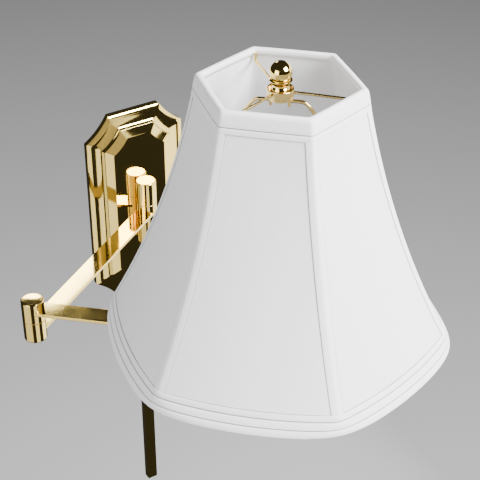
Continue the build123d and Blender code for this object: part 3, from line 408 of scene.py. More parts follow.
def finish_piece(name, bm, body, slot, nodes=(), sharp=35.0, recalculate=True):
    """Turns a bmesh into a named piece that rides on a body and takes a slot's finish.
    Edges that turn by more than sharp degrees stay crisp."""
    bmesh.ops.remove_doubles(bm, verts=bm.verts, dist=MERGE_DISTANCE)
    if recalculate:
        bmesh.ops.recalc_face_normals(bm, faces=bm.faces)
    for face in bm.faces:
        face.smooth = True
    for edge in bm.edges:
        if len(edge.link_faces) == 2 and edge.calc_face_angle() > math.radians(sharp):
            edge.smooth = False
    mesh = bpy.data.meshes.new(name)
    bm.to_mesh(mesh)
    bm.free()
    piece = bpy.data.objects.new(name, mesh)
    bpy.context.scene.collection.objects.link(piece)
    mesh.materials.append(MATERIALS[slot])
    if slot not in CLOTHS:
        shading = piece.modifiers.new("face_weighted_normals", "WEIGHTED_NORMAL")
        shading.weight = 100
        shading.keep_sharp = True
    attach(piece, body)
    if nodes:
        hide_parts(*nodes)
    return piece


def thicken(piece, thickness):
    """Gives an open shell its wall, inwards, ahead of any modifier on its normals."""
    wall = piece.modifiers.new("wall", "SOLIDIFY")
    wall.thickness = thickness
    wall.offset = -1
    piece.modifiers.move(len(piece.modifiers) - 1, 0)


def turned(name, outline, centre, body, slot, nodes, axis=(0, 0, 1), sharp=35.0):
    """A turned piece: an outline of (radius, height) spun about an axis through centre."""
    bm = bmesh.new()
    points = [bm.verts.new((radius, 0, height)) for radius, height in outline]
    edges = [bm.edges.new(pair) for pair in zip(points, points[1:])]
    bmesh.ops.spin(
        bm, geom=points + edges, cent=(0, 0, 0), axis=(0, 0, 1), angle=math.tau,
        steps=TURN_STEPS, use_merge=True,
    )
    tilt = Vector((0, 0, 1)).rotation_difference(Vector(axis)).to_matrix().to_4x4()
    bmesh.ops.transform(bm, matrix=Matrix.Translation(centre) @ tilt, verts=bm.verts)
    finish_piece(name, bm, body, slot, nodes, sharp)


def round_corner(corner, start, end, radius):
    """Points of a rounded corner in an outline, from the side of start to the side of end."""
    corner = Vector(corner)
    along_in = (Vector(start) - corner).normalized() * radius
    along_out = (Vector(end) - corner).normalized() * radius
    points = []
    for step in range(CORNER_STEPS + 1):
        t = step / CORNER_STEPS
        points.append(tuple(corner + along_in * (1 - t) ** 2 + along_out * t**2))
    return points


def wire(name, points, radius, body, nodes, slot="brass_wire", closed=False):
    """A drawn wire along a smooth curve through a few control points."""
    curve = bpy.data.curves.new(name, "CURVE")
    curve.dimensions = "3D"
    curve.bevel_depth = radius
    curve.bevel_resolution = 6
    curve.use_fill_caps = True
    spline = curve.splines.new("NURBS")
    spline.points.add(len(points) - 1)
    for point, place in zip(spline.points, points):
        point.co = (*place, 1)
    spline.order_u = 3
    spline.use_endpoint_u = not closed
    spline.use_cyclic_u = closed
    spline.resolution_u = 16
    holder = bpy.data.objects.new(name + "_path", curve)
    bpy.context.scene.collection.objects.link(holder)
    mesh = bpy.data.meshes.new_from_object(holder)
    bpy.data.objects.remove(holder)
    bm = bmesh.new()
    bm.from_mesh(mesh)
    finish_piece(name, bm, body, slot, nodes, sharp=50.0)


# ------------------------------------------------------------------ wall plate

PLATE_LOW, PLATE_HIGH = corners("wall_plate")
PLATE_HALF_WIDTH = (PLATE_HIGH.x - PLATE_LOW.x) / 2
PLATE_HALF_HEIGHT = (PLATE_HIGH.z - PLATE_LOW.z) / 2
PLATE_DEPTH = PLATE_HIGH.y - PLATE_LOW.y
PLATE_SKIN = 1.3 * MM
PLATE_SOFT_EDGE = 0.35 * MM
PLATE_CUT = 26.6 * MM
CUT_TAPER = 0.38
SCOOP = 0.06
SCOOP_STEPS = 8
LIP_DEPTH = 6 * MM
COVE_START = 1.0 * MM
COVE_END = 16.5 * MM
COVE_TOP = 11 * MM
COVE_STEPS = 12
BEVEL_START = 17.2 * MM
BEVEL_END = 26 * MM


def plate_loop(bm, inset, depth):
    """One closed loop of the plate's outline, with scooped corners, at a depth from the wall."""
    half_width = PLATE_HALF_WIDTH - inset
    half_height = PLATE_HALF_HEIGHT - inset
    cut = PLATE_CUT - CUT_TAPER * inset
    points = []
    for side_x, side_z in ((1, 1), (1, -1), (-1, -1), (-1, 1)):
        scoop = []
        for step in range(SCOOP_STEPS + 1):
            t = step / SCOOP_STEPS
            dip = SCOOP * cut * 4 * t * (1 - t)
            x = half_width - cut * (1 - t) - dip
            z = half_height - cut * t - dip
            scoop.append((side_x * x, side_z * z))
        points += scoop if side_x == side_z else scoop[::-1]
    verts = [bm.verts.new((x, -depth, z)) for x, z in points]
    return [bm.edges.new((verts[i - 1], verts[i])) for i in range(len(verts))]


def plate_profile():
    """Inset and depth of each loop from the wall up to the flat face."""
    soft = PLATE_SOFT_EDGE
    profile = [(0.0, 0.0), (0.0, LIP_DEPTH - soft), (soft, LIP_DEPTH), (COVE_START, LIP_DEPTH)]
    for step in range(1, COVE_STEPS + 1):
        angle = math.pi / 2 * step / COVE_STEPS
        inset = COVE_START + (COVE_END - COVE_START) * math.sin(angle)
        rise = (COVE_TOP - soft - LIP_DEPTH) * (1 - math.cos(angle))
        profile.append((inset, LIP_DEPTH + rise))
    profile += [
        (COVE_END + soft, COVE_TOP),
        (BEVEL_START, COVE_TOP),
        (BEVEL_START + soft, COVE_TOP + soft / 2),
        (BEVEL_END - soft, PLATE_DEPTH - soft / 2),
        (BEVEL_END + soft, PLATE_DEPTH),
    ]
    return profile


def make_wall_plate():
    bm = bmesh.new()
    loops = [plate_loop(bm, inset, depth) for inset, depth in plate_profile()]
    for lower, upper in zip(loops, loops[1:]):
        bmesh.ops.bridge_loops(bm, edges=lower + upper)
    bmesh.ops.contextual_create(bm, geom=loops[-1])
    plate = finish_piece(
        "wall_plate_shell", bm, "wall_mount", "polished_brass", ["wall_plate"], sharp=22.0
    )
    thicken(plate, PLATE_SKIN)


make_wall_plate()


# ------------------------------------------------------------------ pivots and arms

BARREL_RADIUS = width_of("elbow_lower_barrel") / 2
EDGE = 1.5 * MM
SEAM = 0.25 * MM
LAMP_BARREL_EDGE = 0.6 * MM
CAP_RADIUS = 8.4 * MM
CAP_GROOVE = 0.3 * MM
CAP_SLOPE = 4 * MM
CAP_SHOULDER = 0.12 * MM
CAP_CROWN = 0.15 * MM


def barrel_outline(low, high, low_edge, high_edge, cap=0.0):
    """Outline of a solid barrel with rounded ends, and a shallow ring where a cap sits."""
    points = [(0.0, low)]
    points += round_corner((BARREL_RADIUS, low), (0, low), (BARREL_RADIUS, high), low_edge)
    points += round_corner((BARREL_RADIUS, high), (BARREL_RADIUS, low), (0, high), high_edge)
    if cap:
        groove = high - CAP_GROOVE
        points += [(cap + SEAM, high), (cap + SEAM / 2, groove), (cap, groove), (cap, high)]
        points += [(cap - CAP_SLOPE, high + CAP_SHOULDER), (0.0, high + CAP_CROWN)]
    else:
        points.append((0.0, high))
    return points


def make_barrel(name, node, body, low_edge, high_edge, cap=0.0, extra=()):
    centre = middle(node)
    outline = barrel_outline(bottom_of(node), top_of(node), low_edge, high_edge, cap)
    place = (centre.x, centre.y, 0)
    turned(name, outline, place, body, "polished_brass", [node, *extra], sharp=28.0)


make_barrel(
    "elbow_barrel_lower", "elbow_lower_barrel", "arm_one", EDGE, SEAM, extra=["elbow_base_plug"]
)
make_barrel(
    "elbow_barrel_upper", "elbow_upper_barrel", "arm_two", SEAM, EDGE, CAP_RADIUS, ["elbow_cap"]
)
make_barrel("wall_barrel", "arm_one_wall_barrel", "arm_one", SEAM, SEAM)
make_barrel("lamp_end_barrel", "lamp_barrel", "arm_two", LAMP_BARREL_EDGE, LAMP_BARREL_EDGE)

STEM_RADIUS = 4.0 * MM
STEM_END = 6.7 * MM
STEM_SINK = 1 * MM
COLLAR_RADIUS = 6.2 * MM
COLLAR_EDGE = 0.4 * MM


def make_ear(name, node, low_edge, high_edge):
    """A fixed half of the wall pivot, with the round stem that runs back through the plate."""
    low, high = bottom_of(node), top_of(node)
    outline = barrel_outline(low, high, low_edge, high_edge)
    turned(name, outline, (POST.x, POST.y, 0), "wall_mount", "polished_brass", [node])
    front = -POST.y - BARREL_RADIUS + STEM_SINK
    outline = [
        (0, -front),
        (COLLAR_RADIUS, -front),
        (COLLAR_RADIUS, -PLATE_DEPTH - COLLAR_EDGE),
        (COLLAR_RADIUS - COLLAR_EDGE, -PLATE_DEPTH),
        (STEM_RADIUS, -PLATE_DEPTH),
        (STEM_RADIUS, -STEM_END),
        (0, -STEM_END),
    ]
    centre = (POST.x, 0, (low + high) / 2)
    turned(name + "_stem", outline, centre, "wall_mount", "polished_brass", [], axis=(0, 1, 0))


make_ear("upper_ear", "upper_pivot_ear", SEAM, EDGE)
make_ear("lower_ear", "lower_pivot_ear", EDGE, SEAM)

ARM_WIDTH = 19.4 * MM
ARM_THICKNESS = top_of("arm_one_tube") - bottom_of("arm_one_tube")
ARM_EDGE = 0.45 * MM
ARM_INSET = 4.3 * MM


def make_arm(name, node, start, end, body):
    """A flat tube between two barrels, its long edges softly rounded."""
    run = Vector((end.x - start.x, end.y - start.y, 0))
    bm = bmesh.new()
    bmesh.ops.create_cube(bm, size=1)
    size = (run.length - 2 * ARM_INSET, ARM_WIDTH, ARM_THICKNESS)
    bmesh.ops.scale(bm, vec=size, verts=bm.verts)
    long_edges = [e for e in bm.edges if abs(e.verts[0].co.x - e.verts[1].co.x) > ARM_WIDTH]
    bmesh.ops.bevel(
        bm, geom=long_edges, offset=ARM_EDGE, segments=4, profile=0.5, affect="EDGES",
        material=-1,
    )
    place = ((start.x + end.x) / 2, (start.y + end.y) / 2, middle(node).z)
    turn = Matrix.Rotation(math.atan2(run.y, run.x), 4, "Z")
    bmesh.ops.transform(bm, matrix=Matrix.Translation(place) @ turn, verts=bm.verts)
    finish_piece(name, bm, body, "polished_brass", [node], sharp=50.0)


make_arm("arm_one_strap", "arm_one_tube", POST, ELBOW, "arm_one")
make_arm("arm_two_strap", "arm_two_tube", ELBOW, LAMP, "arm_two")


# ------------------------------------------------------------------ cord cover

COVER_LOW, COVER_HIGH = corners("cord_cover")
COVER_LIP = 2.0 * MM
COVER_SHOULDER = 1.2 * MM
COVER_SKIN = 0.8 * MM


def make_cord_cover():
    """A channel with a flat front, rounded shoulders and lips turned in at the wall."""
    half = (COVER_HIGH.x - COVER_LOW.x) / 2
    depth = COVER_HIGH.y - COVER_LOW.y
    outline = [(half - COVER_LIP, 0), (half, 0)]
    outline += round_corner((half, depth), (half, 0), (0, depth), COVER_SHOULDER)
    outline += [(-x, y) for x, y in reversed(outline)]
    bm = bmesh.new()
    verts = [bm.verts.new((x, -y, COVER_LOW.z)) for x, y in outline]
    edges = [bm.edges.new(pair) for pair in zip(verts, verts[1:])]
    grown = bmesh.ops.extrude_edge_only(bm, edges=edges)["geom"]
    risen = [item for item in grown if isinstance(item, bmesh.types.BMVert)]
    bmesh.ops.translate(bm, vec=(0, 0, COVER_HIGH.z - COVER_LOW.z), verts=risen)
    for face in bm.faces:
        face_middle = face.calc_center_median()
        outwards = face_middle - Vector((0, -depth / 2, face_middle.z))
        if face.normal.dot(outwards) < 0:
            face.normal_flip()
    cover = finish_piece(
        "cord_cover_channel", bm, "wall_mount", "polished_brass", ["cord_cover"],
        sharp=40.0, recalculate=False,
    )
    thicken(cover, COVER_SKIN)


make_cord_cover()


# ------------------------------------------------------------------ finial, hub and harp

# Radius and height above the finial's foot, in millimetres, up to the neck under its ball.
FINIAL_FOOT = [
    (3.3, 0), (6.2, 0), (7.6, 0.7), (8.2, 2.2), (8.2, 3.6), (7.7, 5.2), (6.9, 6.3), (6.5, 7.3),
    (6.5, 8.3), (7.0, 9.6), (8.2, 10.8), (9.2, 11.4), (9.6, 11.8), (9.6, 12.2), (9.1, 12.6),
]
BALL_START = 12.9 * MM
BALL_RADIUS = 9.2 * MM
BALL_STEPS = 24


def make_finial():
    foot, top = bottom_of("finial"), top_of("finial")
    ball_centre = top - BALL_RADIUS
    outline = [(radius * MM, foot + height * MM) for radius, height in FINIAL_FOOT]
    start = math.asin((foot + BALL_START - ball_centre) / BALL_RADIUS)
    for step in range(BALL_STEPS):
        angle = start + (math.pi / 2 - start) * step / BALL_STEPS
        height = ball_centre + BALL_RADIUS * math.sin(angle)
        outline.append((BALL_RADIUS * math.cos(angle), height))
    outline.append((0.0, top))
    place = (LAMP.x, LAMP.y, 0)
    turned("finial_ball", outline, place, "finial", "polished_brass", ["finial"], sharp=40.0)


make_finial()

HUB_OUTER = 11 * MM
HUB_INNER = 9.4 * MM
HUB_HOLE = 3.5 * MM
HUB_EDGE = 0.6 * MM
HUB_ROLL = 0.7 * MM
HUB_FLOOR = 1.6 * MM


def make_hub():
    """The ring that the spider wires meet, with a rolled top edge and a floor."""
    low, high = bottom_of("spider_hub"), top_of("spider_hub")
    outline = [(HUB_HOLE, low), (HUB_OUTER - HUB_EDGE, low), (HUB_OUTER, low + HUB_EDGE)]
    outline += round_corner((HUB_OUTER, high), (HUB_OUTER, low), (0, high), HUB_ROLL)
    outline += round_corner((HUB_INNER, high), (HUB_OUTER, high), (HUB_INNER, low), HUB_ROLL)
    outline += [(HUB_INNER, low + HUB_FLOOR), (HUB_HOLE, low + HUB_FLOOR), (HUB_HOLE, low)]
    place = (LAMP.x, LAMP.y, 0)
    turned("spider_ring", outline, place, "shade", "brass_wire", ["spider_hub"], sharp=40.0)


make_hub()

HARP_RADIUS = 1.6 * MM
# Half of the harp's wire: distance from the lamp axis in the plane of the second arm, and
# height above the harp's foot, in millimetres.
HARP_HALF = [
    (27, 0), (27, 20), (28, 27), (40, 50), (50, 75), (50, 110), (50, 145), (42, 170),
    (27.5, 192), (20.5, 200.8), (14, 201.2), (6, 201.2),
]


def make_harp():
    foot = bottom_of("harp_wire")
    route = [(-along, height) for along, height in HARP_HALF] + HARP_HALF[::-1]
    points = [from_lamp(along * MM, ARM_TWO_TURN, foot + height * MM) for along, height in route]
    wire("harp_loop", points, HARP_RADIUS, "arm_two", ["harp_wire"])


make_harp()

SHADE_TURN = math.radians(-44.6)
SPIDER_RADIUS = 1.3 * MM
SPIDER_TIP_DROP = 2.6 * MM
# Distance from the lamp axis and height above the wires' own level, in millimetres.
SPIDER_ROUTE = [(10.5, 1.6), (30, 1.2), (52, 0.4), (60.9, 0), (62.1, 0.8), (62.1, 2.4)]


def make_spider_wires():
    level = bottom_of("spider_wires") + SPIDER_RADIUS
    route = [(radius * MM, level + height * MM) for radius, height in SPIDER_ROUTE]
    route.append((route[-1][0], top_of("spider_wires") - SPIDER_TIP_DROP))
    for arm in range(3):
        turn = SHADE_TURN + math.radians(120) * arm
        points = [from_lamp(radius, turn, height) for radius, height in route]
        nodes = ["spider_wires"] if arm == 0 else []
        wire(f"spider_wire_{arm + 1}", points, SPIDER_RADIUS, "shade", nodes)


make_spider_wires()


# ------------------------------------------------------------------ shape of the shade

CLOTH_TOP = top_of("shade_panel_1")
CLOTH_BOTTOM = bottom_of("shade_panel_1")
SHADE_TOP = CLOTH_TOP + 0.4 * MM
SHADE_BOTTOM = CLOTH_BOTTOM - 0.9 * MM
SIDE_ANGLE = math.radians(60)
COS30 = math.cos(math.radians(30))
RIB_TOP_RADIUS = 69 * MM
RIB_BOTTOM_RADIUS = 156.3 * MM
SIDE_BOW = 9 * MM
TOP_BOW = 0.4 * MM
CRISP_CORNER = 0.6 * MM
ROUND_CORNER = 6.0 * MM
ROUND_HEIGHT = 17 * MM

# Each rib is an arc of this radius, through its two ends, with its centre outside the shade.
BELL_RADIUS = 762 * MM
BELL_RISE = SHADE_TOP - SHADE_BOTTOM
BELL_SPREAD = RIB_BOTTOM_RADIUS - RIB_TOP_RADIUS
BELL_CHORD = math.hypot(BELL_RISE, BELL_SPREAD)
BELL_REACH = math.sqrt(BELL_RADIUS**2 - BELL_CHORD**2 / 4) / BELL_CHORD
BELL_CENTRE_R = (RIB_TOP_RADIUS + RIB_BOTTOM_RADIUS) / 2 + BELL_REACH * BELL_RISE
BELL_CENTRE_Z = (SHADE_TOP + SHADE_BOTTOM) / 2 + BELL_REACH * BELL_SPREAD


def rib_radius(z):
    """Distance of the shade's outside corner from the lamp axis at a height."""
    return BELL_CENTRE_R - math.sqrt(BELL_RADIUS**2 - (z - BELL_CENTRE_Z) ** 2)


def side_radius(z, out, angle):
    """Distance of one bowed side from the axis, at an angle from the middle of that side."""
    corner = rib_radius(z) + out / COS30
    bow = TOP_BOW + SIDE_BOW * max((SHADE_TOP - z) / BELL_RISE, 0.0) ** 1.5
    arc = (corner**2 / 4 + bow**2) / (2 * bow)
    shift = corner * COS30 + bow - arc
    return shift * math.cos(angle) + math.sqrt(arc**2 - (shift * math.sin(angle)) ** 2)


def softness_at(z):
    """The lower ring is bent round the corners, so they are crisp above and round below."""
    drop = min(max((SHADE_BOTTOM + ROUND_HEIGHT - z) / ROUND_HEIGHT, 0.0), 1.0)
    return CRISP_CORNER + ROUND_CORNER * drop**1.3


def shade_point(z, out, angle, extra_softness=0.0):
    """A point on the shade's surface, moved out, at an angle from the first rib."""
    softness = extra_softness + softness_at(z)
    side = math.floor(angle / SIDE_ANGLE)
    local = angle - (side + 0.5) * SIDE_ANGLE
    radius = side_radius(z, out, local)
    other = side_radius(z, out, SIDE_ANGLE - abs(local))
    radius -= softness * math.log(1 + math.exp(-abs(other - radius) / softness))
    return from_lamp(radius, SHADE_TURN + angle, z)


# ------------------------------------------------------------------ cloth of the shade

PANEL_HEIGHT = 256 * MM
PANEL_WIDTH = 157 * MM
PANEL_CLOTH = 0.5 * MM
LINING_CLOTH = 0.35 * MM
TRIM_CLOTH = 0.3 * MM


def cloth_grid(bm, columns, rows, place, uv_size):
    """A grid whose points are put in place by a function of (across, up), each from 0 to 1."""
    uv = bm.loops.layers.uv.get("cloth") or bm.loops.layers.uv.new("cloth")
    made = bmesh.ops.create_grid(bm, x_segments=columns, y_segments=rows, size=0.5)
    faces = {face for vert in made["verts"] for face in vert.link_faces}
    for face in faces:
        for loop in face.loops:
            across, up = loop.vert.co.x + 0.5, loop.vert.co.y + 0.5
            loop[uv].uv = (across * uv_size[0], up * uv_size[1])
    grid = [(vert, (vert.co.x + 0.5, vert.co.y + 0.5)) for vert in made["verts"]]
    for vert, (across, up) in grid:
        vert.co = place(across, up)
    return grid


def point_outwards(piece, sign=1):
    """Turns every face away from the lamp axis, or towards it with a sign of -1."""
    bm = bmesh.new()
    bm.from_mesh(piece.data)
    for face in bm.faces:
        outwards = face.calc_center_median() - LAMP
        outwards.z = 0
        if face.normal.dot(outwards) * sign < 0:
            face.normal_flip()
    bm.to_mesh(piece.data)
    bm.free()


PANEL_IN = 0.05 * MM
PANEL_PULL = 0.5 * MM
PANEL_RIPPLE = 0.05 * MM
# Keeps the ends of a panel's rows on their own side of the ribs.
INSIDE_SIDE = 1e-6


def make_panels():
    """Six panels of stretched cloth, each a hair slack between the ribs."""
    pieces = []
    for side in range(6):

        def place(across, up, side=side):
            z = CLOTH_BOTTOM + (CLOTH_TOP - CLOTH_BOTTOM) * up
            slack = 4 * across * (1 - across)
            pull = PANEL_PULL * slack * math.sin(math.pi * up)
            waves = math.sin(23 * across + side) * math.sin(9 * up + 2 * side)
            turn = SIDE_ANGLE * (side + min(max(across, INSIDE_SIDE), 1 - INSIDE_SIDE))
            return shade_point(z, PANEL_RIPPLE * slack * waves - pull - PANEL_IN, turn)

        bm = bmesh.new()
        cloth_grid(bm, 36, 72, place, (PANEL_WIDTH, PANEL_HEIGHT))
        panel = finish_piece(
            f"panel_cloth_{side + 1}", bm, "shade", "shade_cloth", [f"shade_panel_{side + 1}"],
            sharp=80.0, recalculate=False,
        )
        point_outwards(panel)
        thicken(panel, PANEL_CLOTH)
        pieces.append(panel)
    return pieces


panels = make_panels()

LINING_IN = 3.9 * MM
LINING_END_GAP = 1 * MM
LINING_LIFT = 0.3 * MM
RIB_FOLD = 0.132 * MM
SIDE_FOLD = 0.09 * MM


def make_lining():
    """The inner cloth, gathered into faint folds that run down beside each rib."""

    def place(around, up):
        z = CLOTH_BOTTOM + LINING_END_GAP + (CLOTH_TOP - CLOTH_BOTTOM - 2 * LINING_END_GAP) * up
        angle = math.tau * around
        local = (angle / SIDE_ANGLE) % 1.0
        near_rib = math.exp(-min(local, 1 - local) * 9)
        fold = RIB_FOLD * near_rib * math.sin(local * 95) + SIDE_FOLD * math.sin(local * 40)
        fold *= math.sin(math.pi * min(max(up, 0.02), 0.98)) ** 0.5
        return shade_point(z, LINING_LIFT * near_rib + fold - LINING_IN, angle, CRISP_CORNER)

    bm = bmesh.new()
    cloth_grid(bm, 360, 40, place, (6 * PANEL_WIDTH, PANEL_HEIGHT))
    piece = finish_piece(
        "lining_sheet", bm, "shade", "lining_cloth", ["shade_lining"],
        sharp=80.0, recalculate=False,
    )
    point_outwards(piece, -1)
    thicken(piece, LINING_CLOTH)
    return piece


lining = make_lining()


# ------------------------------------------------------------------ bands, frame and tapes

BAND_STEPS = 360


def band(name, profile, level, shadowed_rows, nodes):
    """A folded band round the shade. Its profile is (offset out, height above level) in
    millimetres, and the listed rows lie in a fold, where shadow is painted dark."""
    points = [(out * MM, level + height * MM) for out, height in profile]
    lengths = [0.0]
    for first, second in zip(points, points[1:]):
        lengths.append(lengths[-1] + math.dist(first, second))
    last = len(points) - 1
    bm = bmesh.new()
    uv = bm.loops.layers.uv.new("cloth")
    fold_shadow = bm.verts.layers.float.new("fold_shadow")
    made = bmesh.ops.create_grid(bm, x_segments=BAND_STEPS, y_segments=last, size=0.5)
    for face in bm.faces:
        for loop in face.loops:
            row = round((loop.vert.co.y + 0.5) * last)
            loop[uv].uv = ((loop.vert.co.x + 0.5) * 6 * PANEL_WIDTH, lengths[row])
    for vert in made["verts"]:
        row = round((vert.co.y + 0.5) * last)
        out, z = points[row]
        # Rows that lie in a fold are marked for painted shadow.
        vert[fold_shadow] = 1.0 if row in shadowed_rows else 0.0
        on_shade = min(max(z, SHADE_BOTTOM), SHADE_TOP)
        point = shade_point(on_shade, out, math.tau * (vert.co.x + 0.5))
        vert.co = (point.x, point.y, z)
    piece = finish_piece(name, bm, "shade", "trim_cloth", nodes, sharp=60.0)
    thicken(piece, TRIM_CLOTH)
    return piece


# The top band rolls over the rim from the inside, falls as one wide fold and ends in a
# narrow fold below it.
TOP_PROFILE = [
    (-4.9, -6.0), (-4.9, -3.0), (-4.8, -1.2), (-4.2, -0.2), (-3.0, 0.1), (-1.6, 0.1),
    (-0.4, -0.3), (0.4, -1.4), (0.65, -3.2), (0.7, -6.2), (0.7, -9.2), (0.7, -11.6),
    (0.6, -12.1), (0.1, -12.2), (0.0, -12.6), (0.1, -13.0), (0.5, -13.1), (0.6, -13.6),
    (0.6, -15.3), (0.6, -17.1), (0.5, -17.6), (0.1, -17.7), (-0.15, -18.2),
]
# Rows of the top profile that lie in a fold, painted with shadow.
TOP_SHADOWED_ROWS = {13, 14, 15, 21, 22}
top_band = band(
    "top_trim_band", TOP_PROFILE, SHADE_TOP + 0.2 * MM, TOP_SHADOWED_ROWS,
    ["shade_top_trim", "shade_top_binding"],
)

# The bottom band lies in three folds, and turns in under the ring.
BOTTOM_PROFILE = [
    (-0.15, 17.6), (0.0, 17.1), (0.5, 17.0), (0.6, 16.5), (0.6, 14.6), (0.6, 13.3),
    (0.5, 12.9), (0.1, 12.8), (-0.1, 12.4), (0.1, 12.0), (0.8, 11.9), (1.0, 11.4),
    (1.05, 9.0), (1.05, 7.2), (1.0, 6.8), (0.6, 6.7), (0.4, 6.3), (0.6, 5.9), (1.1, 5.8),
    (1.25, 5.3), (1.3, 3.6), (1.1, 1.4), (0.6, 0.4), (-0.4, 0.0), (-2.2, 0.0), (-3.6, 0.3),
    (-4.4, 1.4), (-4.6, 4.0), (-4.6, 7.0),
]
# Rows of the bottom profile that lie in a fold, painted with shadow.
BOTTOM_SHADOWED_ROWS = {0, 1, 7, 8, 9, 15, 16, 17}
bottom_band = band(
    "bottom_trim_band", BOTTOM_PROFILE, SHADE_BOTTOM, BOTTOM_SHADOWED_ROWS,
    ["shade_bottom_trim", "shade_bottom_binding"],
)

WIRE_RADIUS = 1.2 * MM
RING_IN = 2.0 * MM
RIB_IN = 3.2 * MM
RING_LEVEL = SHADE_BOTTOM + 3.0 * MM
RING_POINTS = 180
RIB_END_GAP = 3 * MM
RIB_STEPS = 12


def make_shade_frame():
    """The ring that the cloth ends on, and the ribs between the cloth and the lining."""
    around = [math.tau * step / RING_POINTS for step in range(RING_POINTS)]
    ring = [shade_point(RING_LEVEL, -RING_IN, angle) for angle in around]
    wire(
        "bottom_ring_wire", ring, WIRE_RADIUS, "shade", ["shade_bottom_ring"],
        slot="frame_wire", closed=True,
    )
    top, bottom = SHADE_TOP - RIB_END_GAP, RING_LEVEL + RIB_END_GAP
    for rib in range(6):
        angle = SIDE_ANGLE * rib + INSIDE_SIDE
        levels = [top - (top - bottom) * step / RIB_STEPS for step in range(RIB_STEPS + 1)]
        route = [shade_point(z, -RIB_IN, angle) for z in levels]
        nodes = ["shade_ribs"] if rib == 0 else []
        wire(f"rib_wire_{rib + 1}", route, WIRE_RADIUS, "shade", nodes, slot="frame_wire")


make_shade_frame()

TAPE_HALF = 5.6 * MM
TAPE_LOW = CLOTH_BOTTOM + 13.4 * MM
TAPE_HIGH = CLOTH_TOP - 14.8 * MM
TAPE_ROWS = 60
# Across the tape: the place as a share of its half width, and the height in millimetres.
TAPE_PROFILE = [
    (-1.0, -0.1), (-0.96, 0.2), (-0.88, 0.38), (-0.75, 0.4), (-0.55, 0.4), (-0.3, 0.4),
    (-0.12, 0.42), (0, 0.46), (0.12, 0.42), (0.3, 0.4), (0.55, 0.4), (0.75, 0.4),
    (0.88, 0.38), (0.96, 0.2), (1.0, -0.1),
]
TAPE_COLUMNS = len(TAPE_PROFILE) - 1


def corner_tapes():
    """Folded bias tape down each rib, its edges turned under and painted with shadow."""
    bm = bmesh.new()
    fold_shadow = bm.verts.layers.float.new("fold_shadow")
    for rib in range(6):

        def place(across, up, rib=rib):
            share, height = TAPE_PROFILE[round(across * TAPE_COLUMNS)]
            z = TAPE_LOW + (TAPE_HIGH - TAPE_LOW) * up
            angle = SIDE_ANGLE * rib + share * TAPE_HALF / rib_radius(z)
            return shade_point(z, height * MM, angle % math.tau)

        grid = cloth_grid(bm, TAPE_COLUMNS, TAPE_ROWS, place, (2 * TAPE_HALF, PANEL_HEIGHT))
        # Painted shadow along the tape's turned-under edges.
        for vert, (across, _) in grid:
            at_edge = min(across, 1 - across) * TAPE_COLUMNS < 1.5
            vert[fold_shadow] = 1.0 if at_edge else 0.0
    piece = finish_piece(
        "corner_bias_tapes", bm, "shade", "trim_cloth", ["shade_corner_tapes"],
        sharp=50.0, recalculate=False,
    )
    point_outwards(piece)
    thicken(piece, TRIM_CLOTH)
    return piece


tapes = corner_tapes()


# ------------------------------------------------------------------ stage, light and camera

FLOOR_DROP = 0.5
FLOOR_SIZE = 20
FLOOR_COLOUR = (0.38, 0.38, 0.385, 1)
FLOOR_ROUGHNESS = 0.9
ROOM_LIGHT = (0.26, 0.26, 0.265, 1)
ROOM_IN_BRASS = (0.035, 0.035, 0.037, 1)
BACKDROP = (0.42, 0.42, 0.43, 1)


def area_light(name, place, target, size, power, turn=0.0):
    light = bpy.data.lights.new(name, "AREA")
    light.shape = "RECTANGLE"
    light.size, light.size_y = size
    light.energy = power
    holder = bpy.data.objects.new(name, light)
    holder.location = place
    holder.visible_camera = False
    aim = (Vector(target) - Vector(place)).to_track_quat("-Z", "Y")
    holder.rotation_euler = (Matrix.Rotation(turn, 3, "Z") @ aim.to_matrix()).to_euler()
    bpy.context.scene.collection.objects.link(holder)


def make_stage():
    """A plain pale floor below the lamp, kept out of the brass's reflections."""
    bm = bmesh.new()
    bmesh.ops.create_grid(bm, x_segments=1, y_segments=1, size=FLOOR_SIZE)
    bmesh.ops.translate(bm, vec=(0, 0, cad_bounds[0][2] - FLOOR_DROP), verts=bm.verts)
    mesh = bpy.data.meshes.new("floor")
    bm.to_mesh(mesh)
    bm.free()
    floor = bpy.data.objects.new("floor", mesh)
    bpy.context.scene.collection.objects.link(floor)
    material, tree, shader = new_material("floor_paint")
    feed(tree, shader.inputs["Base Color"], FLOOR_COLOUR)
    feed(tree, shader.inputs["Roughness"], FLOOR_ROUGHNESS)
    mesh.materials.append(material)
    floor.visible_glossy = False


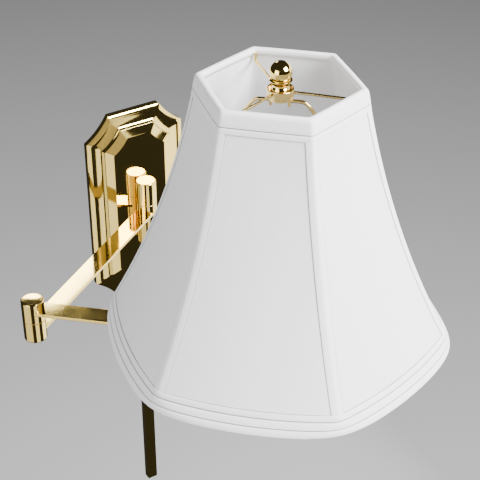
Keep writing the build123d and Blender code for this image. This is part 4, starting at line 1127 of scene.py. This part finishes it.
def make_world():
    """Soft light from all round, which the brass sees as a dark room and the camera as a
    plain backdrop."""
    world = bpy.data.worlds.new("studio")
    world.use_nodes = True
    bpy.context.scene.world = world
    tree = world.node_tree
    rays = tree.nodes.new("ShaderNodeLightPath").outputs
    soft = mix_node(tree, rays["Is Glossy Ray"], ROOM_LIGHT, ROOM_IN_BRASS)
    seen = mix_node(tree, rays["Is Camera Ray"], soft, BACKDROP)
    feed(tree, tree.nodes["Background"].inputs["Color"], seen)


def make_lights():
    """A key, a fill, and cards placed for the brass to reflect. The rear one is turned so
    that the first arm mirrors it along its whole length."""
    shade = Vector((LAMP.x, LAMP.y, (SHADE_TOP + SHADE_BOTTOM) / 2))
    plate = Vector((0, 0, 0))
    area_light("key", (0.66, -1.4, 1.15), shade, size=(0.9, 0.9), power=145)
    area_light("left_fill", (-1.7, -0.75, 0.55), shade, size=(1.2, 1.2), power=28)
    area_light(
        "rear_overhead", (0.42, 1.41, 1.0), (0.42, 1.41, 0.0), size=(0.46, 0.42), power=8,
        turn=ARM_ONE_TURN,
    )
    area_light("right_card", (0.77, -0.07, -0.10), plate, size=(1.2, 1.25), power=14)
    area_light("low_front_card", (-0.14, -0.68, -0.42), plate, size=(0.34, 0.5), power=0.9)
    area_light("low_left_card", (-0.86, -0.21, -0.43), ELBOW, size=(0.9, 0.5), power=1.7)


CAMERA_PLACE = (-0.5373, -1.0514, 0.7159)
CAMERA_YAW = math.radians(32.55)
CAMERA_PITCH = math.radians(33.13)
CAMERA_LENS = 95.67
CAMERA_SENSOR = 36


def make_camera():
    data = bpy.data.cameras.new("camera")
    data.lens = CAMERA_LENS
    data.sensor_width = CAMERA_SENSOR
    camera = bpy.data.objects.new("camera", data)
    camera.location = CAMERA_PLACE
    level = math.cos(CAMERA_PITCH)
    ahead = (math.sin(CAMERA_YAW) * level, math.cos(CAMERA_YAW) * level, -math.sin(CAMERA_PITCH))
    camera.rotation_euler = Vector(ahead).to_track_quat("-Z", "Y").to_euler()
    bpy.context.scene.collection.objects.link(camera)
    bpy.context.scene.camera = camera


make_stage()
make_world()
make_lights()
make_camera()
